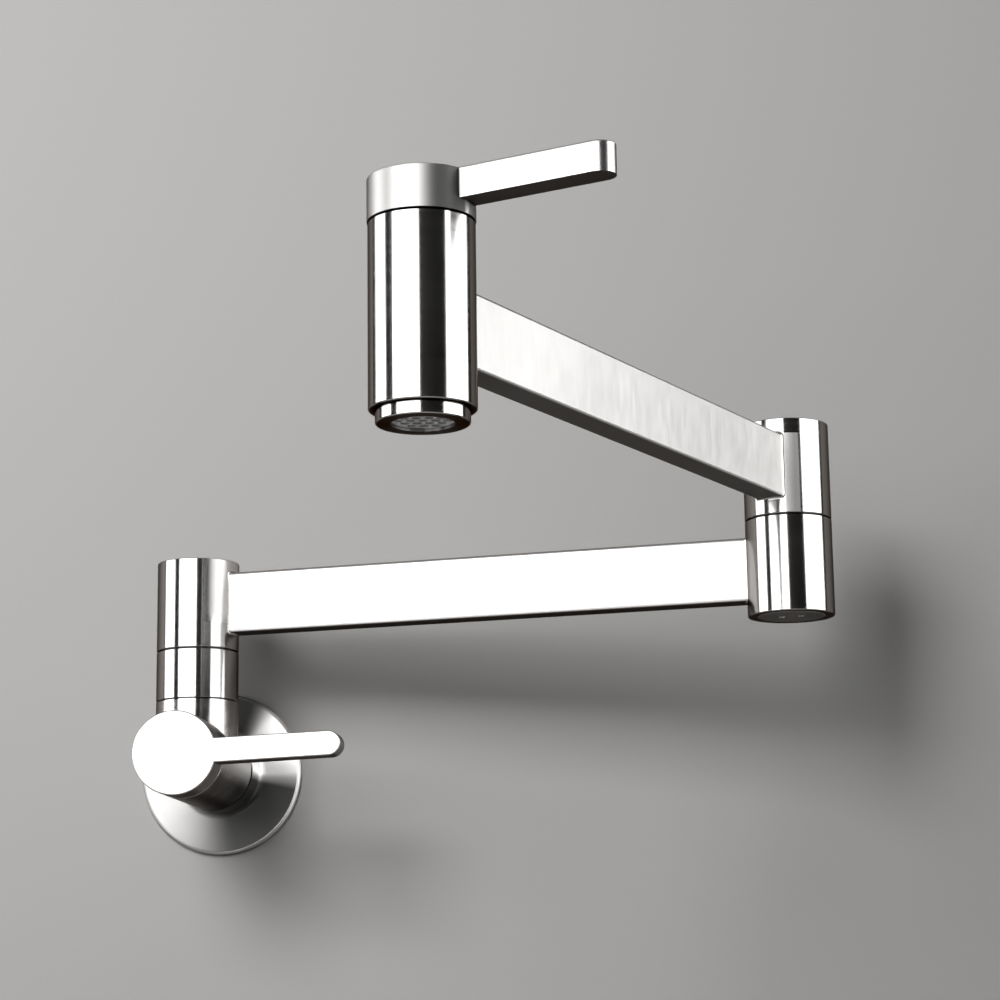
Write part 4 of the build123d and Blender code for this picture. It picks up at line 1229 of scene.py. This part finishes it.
@dataclass
class Studio:
    """A plain pale wall and floor, soft light panels and dark cards."""

    focus: Triple = (0.12, -0.2, 0.05)
    paint: Triple = (0.285, 0.281, 0.277)
    paint_shaded_in_metal: Triple = (0.22, 0.203, 0.19)
    floor_shown: Triple = (0.5, 0.494, 0.488)
    floor_shaded_in_metal: Triple = (0.4, 0.388, 0.376)
    paint_roughness: float = 0.9
    paint_gloss: float = 0.1
    velvet: Colour = (0.02, 0.019, 0.018, 1.0)
    floor_height: float = -0.62
    wall_top: float = 1.3
    half_width: float = 0.785
    depth: float = 1.25
    opening: float = 32.0 * MM
    side_steps: int = 8
    watts_for_white: float = 4.0        # per square metre of a lamp's face
    sky: Colour = (1.0, 0.99, 0.98, 1.0)
    surround: float = 0.4
    surround_in_metal: float = 0.5
    ambient: float = 0.04
    panels: tuple[Panel, ...] = (
        Panel("right_panel", (0.764, -0.70), (0.743, -0.01), 0.0, 0.5, 3.0, fills=False),
        Panel("left_panel", (-0.773, -0.561), (-0.798, -0.051), 0.0, 0.5, 3.2),
        Panel("front_panel", (-0.695, -0.817), (0.152, -1.231), 0.0, 0.52, 3.8),
        Panel("right_low_panel", (0.784, -0.70), (0.763, -0.01), -0.45, 0.0, 0.6, fills=False),
        Panel("left_low_panel", (-0.793, -0.561), (-0.818, -0.05), -0.45, 0.0, 1.2, fills=False),
        Panel("front_low_panel", (-0.715, -0.827), (0.162, -1.251), -0.45, 0.0, 0.8, fills=False),
    )
    keys: tuple[Key, ...] = (
        Key("soft_key", (-0.32, -1.22, 0.66), 0.5, 19.0),
        Key("back_key", (0.5, 1.1, 0.8), 0.8, 5.0),
    )
    # dark cards that only the metal's reflections see, as painted shade there; the two wall cards lie just
    # before the lit wall
    cards: tuple[Panel, ...] = (
        Panel("front_card", (0.16, -1.24), (0.79, -0.72), -0.62, 0.9),
        Panel("left_card", (-0.765, -0.92), (-0.79, -0.55), -0.62, 0.9),
        Panel("right_high_card", (0.784, -0.70), (0.763, 0.0), 0.5, 0.9),
        Panel("left_high_card", (-0.793, -0.561), (-0.818, 0.0), 0.5, 0.9),
        Panel("front_high_card", (-0.77, -0.80), (0.162, -1.251), 0.52, 0.9),
        Panel("wall_right_card", (0.52, -0.001), (0.76, -0.001), -0.62, 0.9),
        Panel("wall_left_card", (-0.76, -0.001), (-0.46, -0.001), -0.62, 0.9),
    )

    def build(self) -> None:
        """Puts up the wall, the floor, the lamps, the cards and the world."""
        self.wall(self.paint_material("wall_paint", self.paint, self.paint_shaded_in_metal))
        floor_paint = self.paint_material("floor_paint", self.floor_shown, self.floor_shaded_in_metal)
        self.sheet("studio_floor", self.floor_corners(), floor_paint)
        focus = Vector(self.focus)
        for panel in self.panels:
            lamp = self.lamp(panel.name, panel.towards(focus), panel.size, panel.radiance)
            lamp.visible_diffuse = panel.fills
        for key in self.keys:
            lamp = self.lamp(key.name, key.towards(focus), (key.width, key.width), key.radiance)
            lamp.visible_glossy = False
        velvet = self.velvet_material()
        for card in self.cards:
            sheet = self.sheet(card.name, card.corners(), velvet)
            # the cards show only in reflections, as painted shade
            sheet.visible_camera = False
            sheet.visible_shadow = False
            sheet.visible_diffuse = False
        self.world()

    def wall(self, material: bpy.types.Material) -> None:
        """Puts up the wall, with the round opening for the pipe that the flange covers.

        Args:
            material: Its paint.
        """
        shape = bmesh.new()
        x, low, high = self.half_width, self.floor_height, self.wall_top
        sides = ((x, 0), (x, high), (0, high), (-x, high), (-x, 0), (-x, low), (0, low), (x, low))
        outer = [Vector((across, 0, up)) for across, up in sides]
        edge = []
        rim = []
        for start, end in zip(outer, outer[1:] + outer[:1]):
            for step in range(self.side_steps):
                point = start.lerp(end, step / self.side_steps)
                edge.append(shape.verts.new(point))
                rim.append(shape.verts.new(point.normalized() * self.opening))
        for index, corner in enumerate(edge):
            after = (index + 1) % len(edge)
            shape.faces.new((corner, edge[after], rim[after], rim[index]))
        self.stage("backdrop_wall", shape, material)

    def floor_corners(self) -> list[Triple]:
        """The corners of the floor, whose face looks up."""
        x, z = self.half_width, self.floor_height
        return [(-x, -self.depth, z), (x, -self.depth, z), (x, 0, z), (-x, 0, z)]

    def sheet(self, name: str, corners: list[Triple], material: bpy.types.Material) -> bpy.types.Object:
        """Makes one flat stage piece.

        Args:
            name: The piece's name.
            corners: Its corners, counter-clockwise seen from its face.
            material: Its material.

        Returns:
            The piece.
        """
        shape = bmesh.new()
        shape.faces.new([shape.verts.new(corner) for corner in corners])
        return self.stage(name, shape, material)

    def stage(self, name: str, shape: bmesh.types.BMesh, material: bpy.types.Material) -> bpy.types.Object:
        """Puts up a stage piece, which isn't part of the pot filler.

        Args:
            name: The piece's name.
            shape: Its mesh.
            material: Its material.

        Returns:
            The piece.
        """
        piece = to_object(name, shape, material)
        log.info("put up %s in %s", name, material.name)
        return piece

    def paint_material(self, name: str, shown: Triple, shaded_in_metal: Triple) -> bpy.types.Material:
        """Matt paint that can be looked through from behind, and that the metal mirrors darker: painted shade
        in its reflections.

        Args:
            name: The material's name.
            shown: The colour that the camera sees.
            shaded_in_metal: The darker colour that the metal mirrors, as painted shade.

        Returns:
            The material.
        """
        material, desk, shader = open_material(name)
        path = desk.add("ShaderNodeLightPath").outputs
        colour = desk.blend(path["Is Camera Ray"], (*self.paint, 1.0), (*shown, 1.0), "RGBA")
        # painted shade: the metal mirrors a darker colour than the camera sees
        colour = desk.blend(path["Is Glossy Ray"], colour, (*shaded_in_metal, 1.0), "RGBA")
        desk.feed(shader.inputs["Base Color"], colour)
        shader.inputs["Roughness"].default_value = self.paint_roughness
        shader.inputs["Specular IOR Level"].default_value = self.paint_gloss
        behind = desk.add("ShaderNodeNewGeometry").outputs["Backfacing"]
        clear = desk.add("ShaderNodeBsdfTransparent")
        mix = desk.add("ShaderNodeMixShader", behind, shader.outputs[0], clear.outputs[0])
        desk.feed(desk.tree.nodes["Material Output"].inputs[0], mix.outputs[0])
        return material

    def velvet_material(self) -> bpy.types.Material:
        """The dark velvet of the cards.

        Returns:
            The material.
        """
        material, _, shader = open_material("card_velvet")
        shader.inputs["Base Color"].default_value = self.velvet
        shader.inputs["Roughness"].default_value = 1.0
        shader.inputs["Specular IOR Level"].default_value = 0.0
        return material

    def lamp(self, name: str, place: Matrix, size: Span, radiance: float) -> bpy.types.Object:
        """Hangs one soft light panel that the camera doesn't see.

        Args:
            name: The panel's name.
            place: Its matrix.
            size: Its width and height.
            radiance: How bright its face is, where 1 is white.

        Returns:
            The panel.
        """
        width, height = size
        light = bpy.data.lights.new(name, "AREA")
        light.shape = "RECTANGLE"
        light.size = width
        light.size_y = height
        light.energy = radiance * self.watts_for_white * width * height
        holder = put_up(name, light)
        holder.matrix_world = place
        holder.visible_camera = False
        log.info("hung %s", name)
        return holder

    def world(self) -> None:
        """A pale surround that the camera and the metal see, and a weak glow for the rest."""
        world = bpy.data.worlds.new("studio")
        world.use_nodes = True
        bpy.context.scene.world = world
        desk = Desk(world.node_tree)
        background = desk.tree.nodes["Background"]
        background.inputs["Color"].default_value = self.sky
        path = desk.add("ShaderNodeLightPath").outputs
        mirrored = desk.math("MAXIMUM", path["Is Glossy Ray"], path["Is Transmission Ray"])
        seen = desk.math("MULTIPLY", path["Is Camera Ray"], self.surround)
        seen = desk.math("MAXIMUM", seen, desk.math("MULTIPLY", mirrored, self.surround_in_metal))
        desk.feed(background.inputs["Strength"], desk.math("MAXIMUM", seen, self.ambient))


@dataclass
class Camera:
    """The camera that took the photograph's view."""

    place: Triple = (0.226370, -1.023879, -0.106930)
    yaw: float = math.radians(-6.199)
    pitch: float = math.radians(11.895)
    roll: float = math.radians(-0.795)
    lens: float = 92.195
    sensor: float = 36.0

    def build(self) -> None:
        """Makes the camera and puts it in use."""
        level = math.cos(self.pitch)
        ahead = Vector((math.sin(self.yaw) * level, math.cos(self.yaw) * level, math.sin(self.pitch)))
        beside = Vector((math.cos(self.yaw), -math.sin(self.yaw), 0))
        upright = beside.cross(ahead)
        right = beside * math.cos(self.roll) + upright * math.sin(self.roll)
        up = upright * math.cos(self.roll) - beside * math.sin(self.roll)
        data = bpy.data.cameras.new("camera")
        data.lens = self.lens
        data.sensor_width = self.sensor
        camera = put_up("camera", data)
        turn = Matrix((right, up, -ahead)).transposed().to_4x4()
        camera.matrix_world = Matrix.Translation(self.place) @ turn
        bpy.context.scene.camera = camera


def build_pot_filler() -> None:
    """Builds and dresses the sub-assemblies in order."""
    effects = Effects()
    layout = Layout()
    assemblies = (
        WallMount(effects, "wall", layout.wall),
        QuarterTurnValve(effects, "wall", layout.wall),
        RiserSwivel(effects, "riser", layout.riser),
        Arm(effects, "arm_1", layout.arm_1, layout.arm_1_reach, layout.arm_1_height),
        ElbowSwivel(effects, "elbow", layout.elbow),
        Arm(effects, "arm_2", layout.arm_2, layout.arm_2_reach, layout.arm_2_height, far_radius=SPOUT_RADIUS),
        SpoutHead(effects, "spout", layout.spout),
        SpoutValve(effects, "spout", layout.spout),
    )
    for assembly in assemblies:
        assembly.build()


def main() -> None:
    """Builds the pot filler, the studio and the camera."""
    logging.basicConfig(level=logging.INFO, format="%(message)s")
    bpy.context.scene.view_settings.view_transform = "Standard"
    build_pot_filler()
    Studio().build()
    Camera().build()


if __name__ == "__main__":
    main()
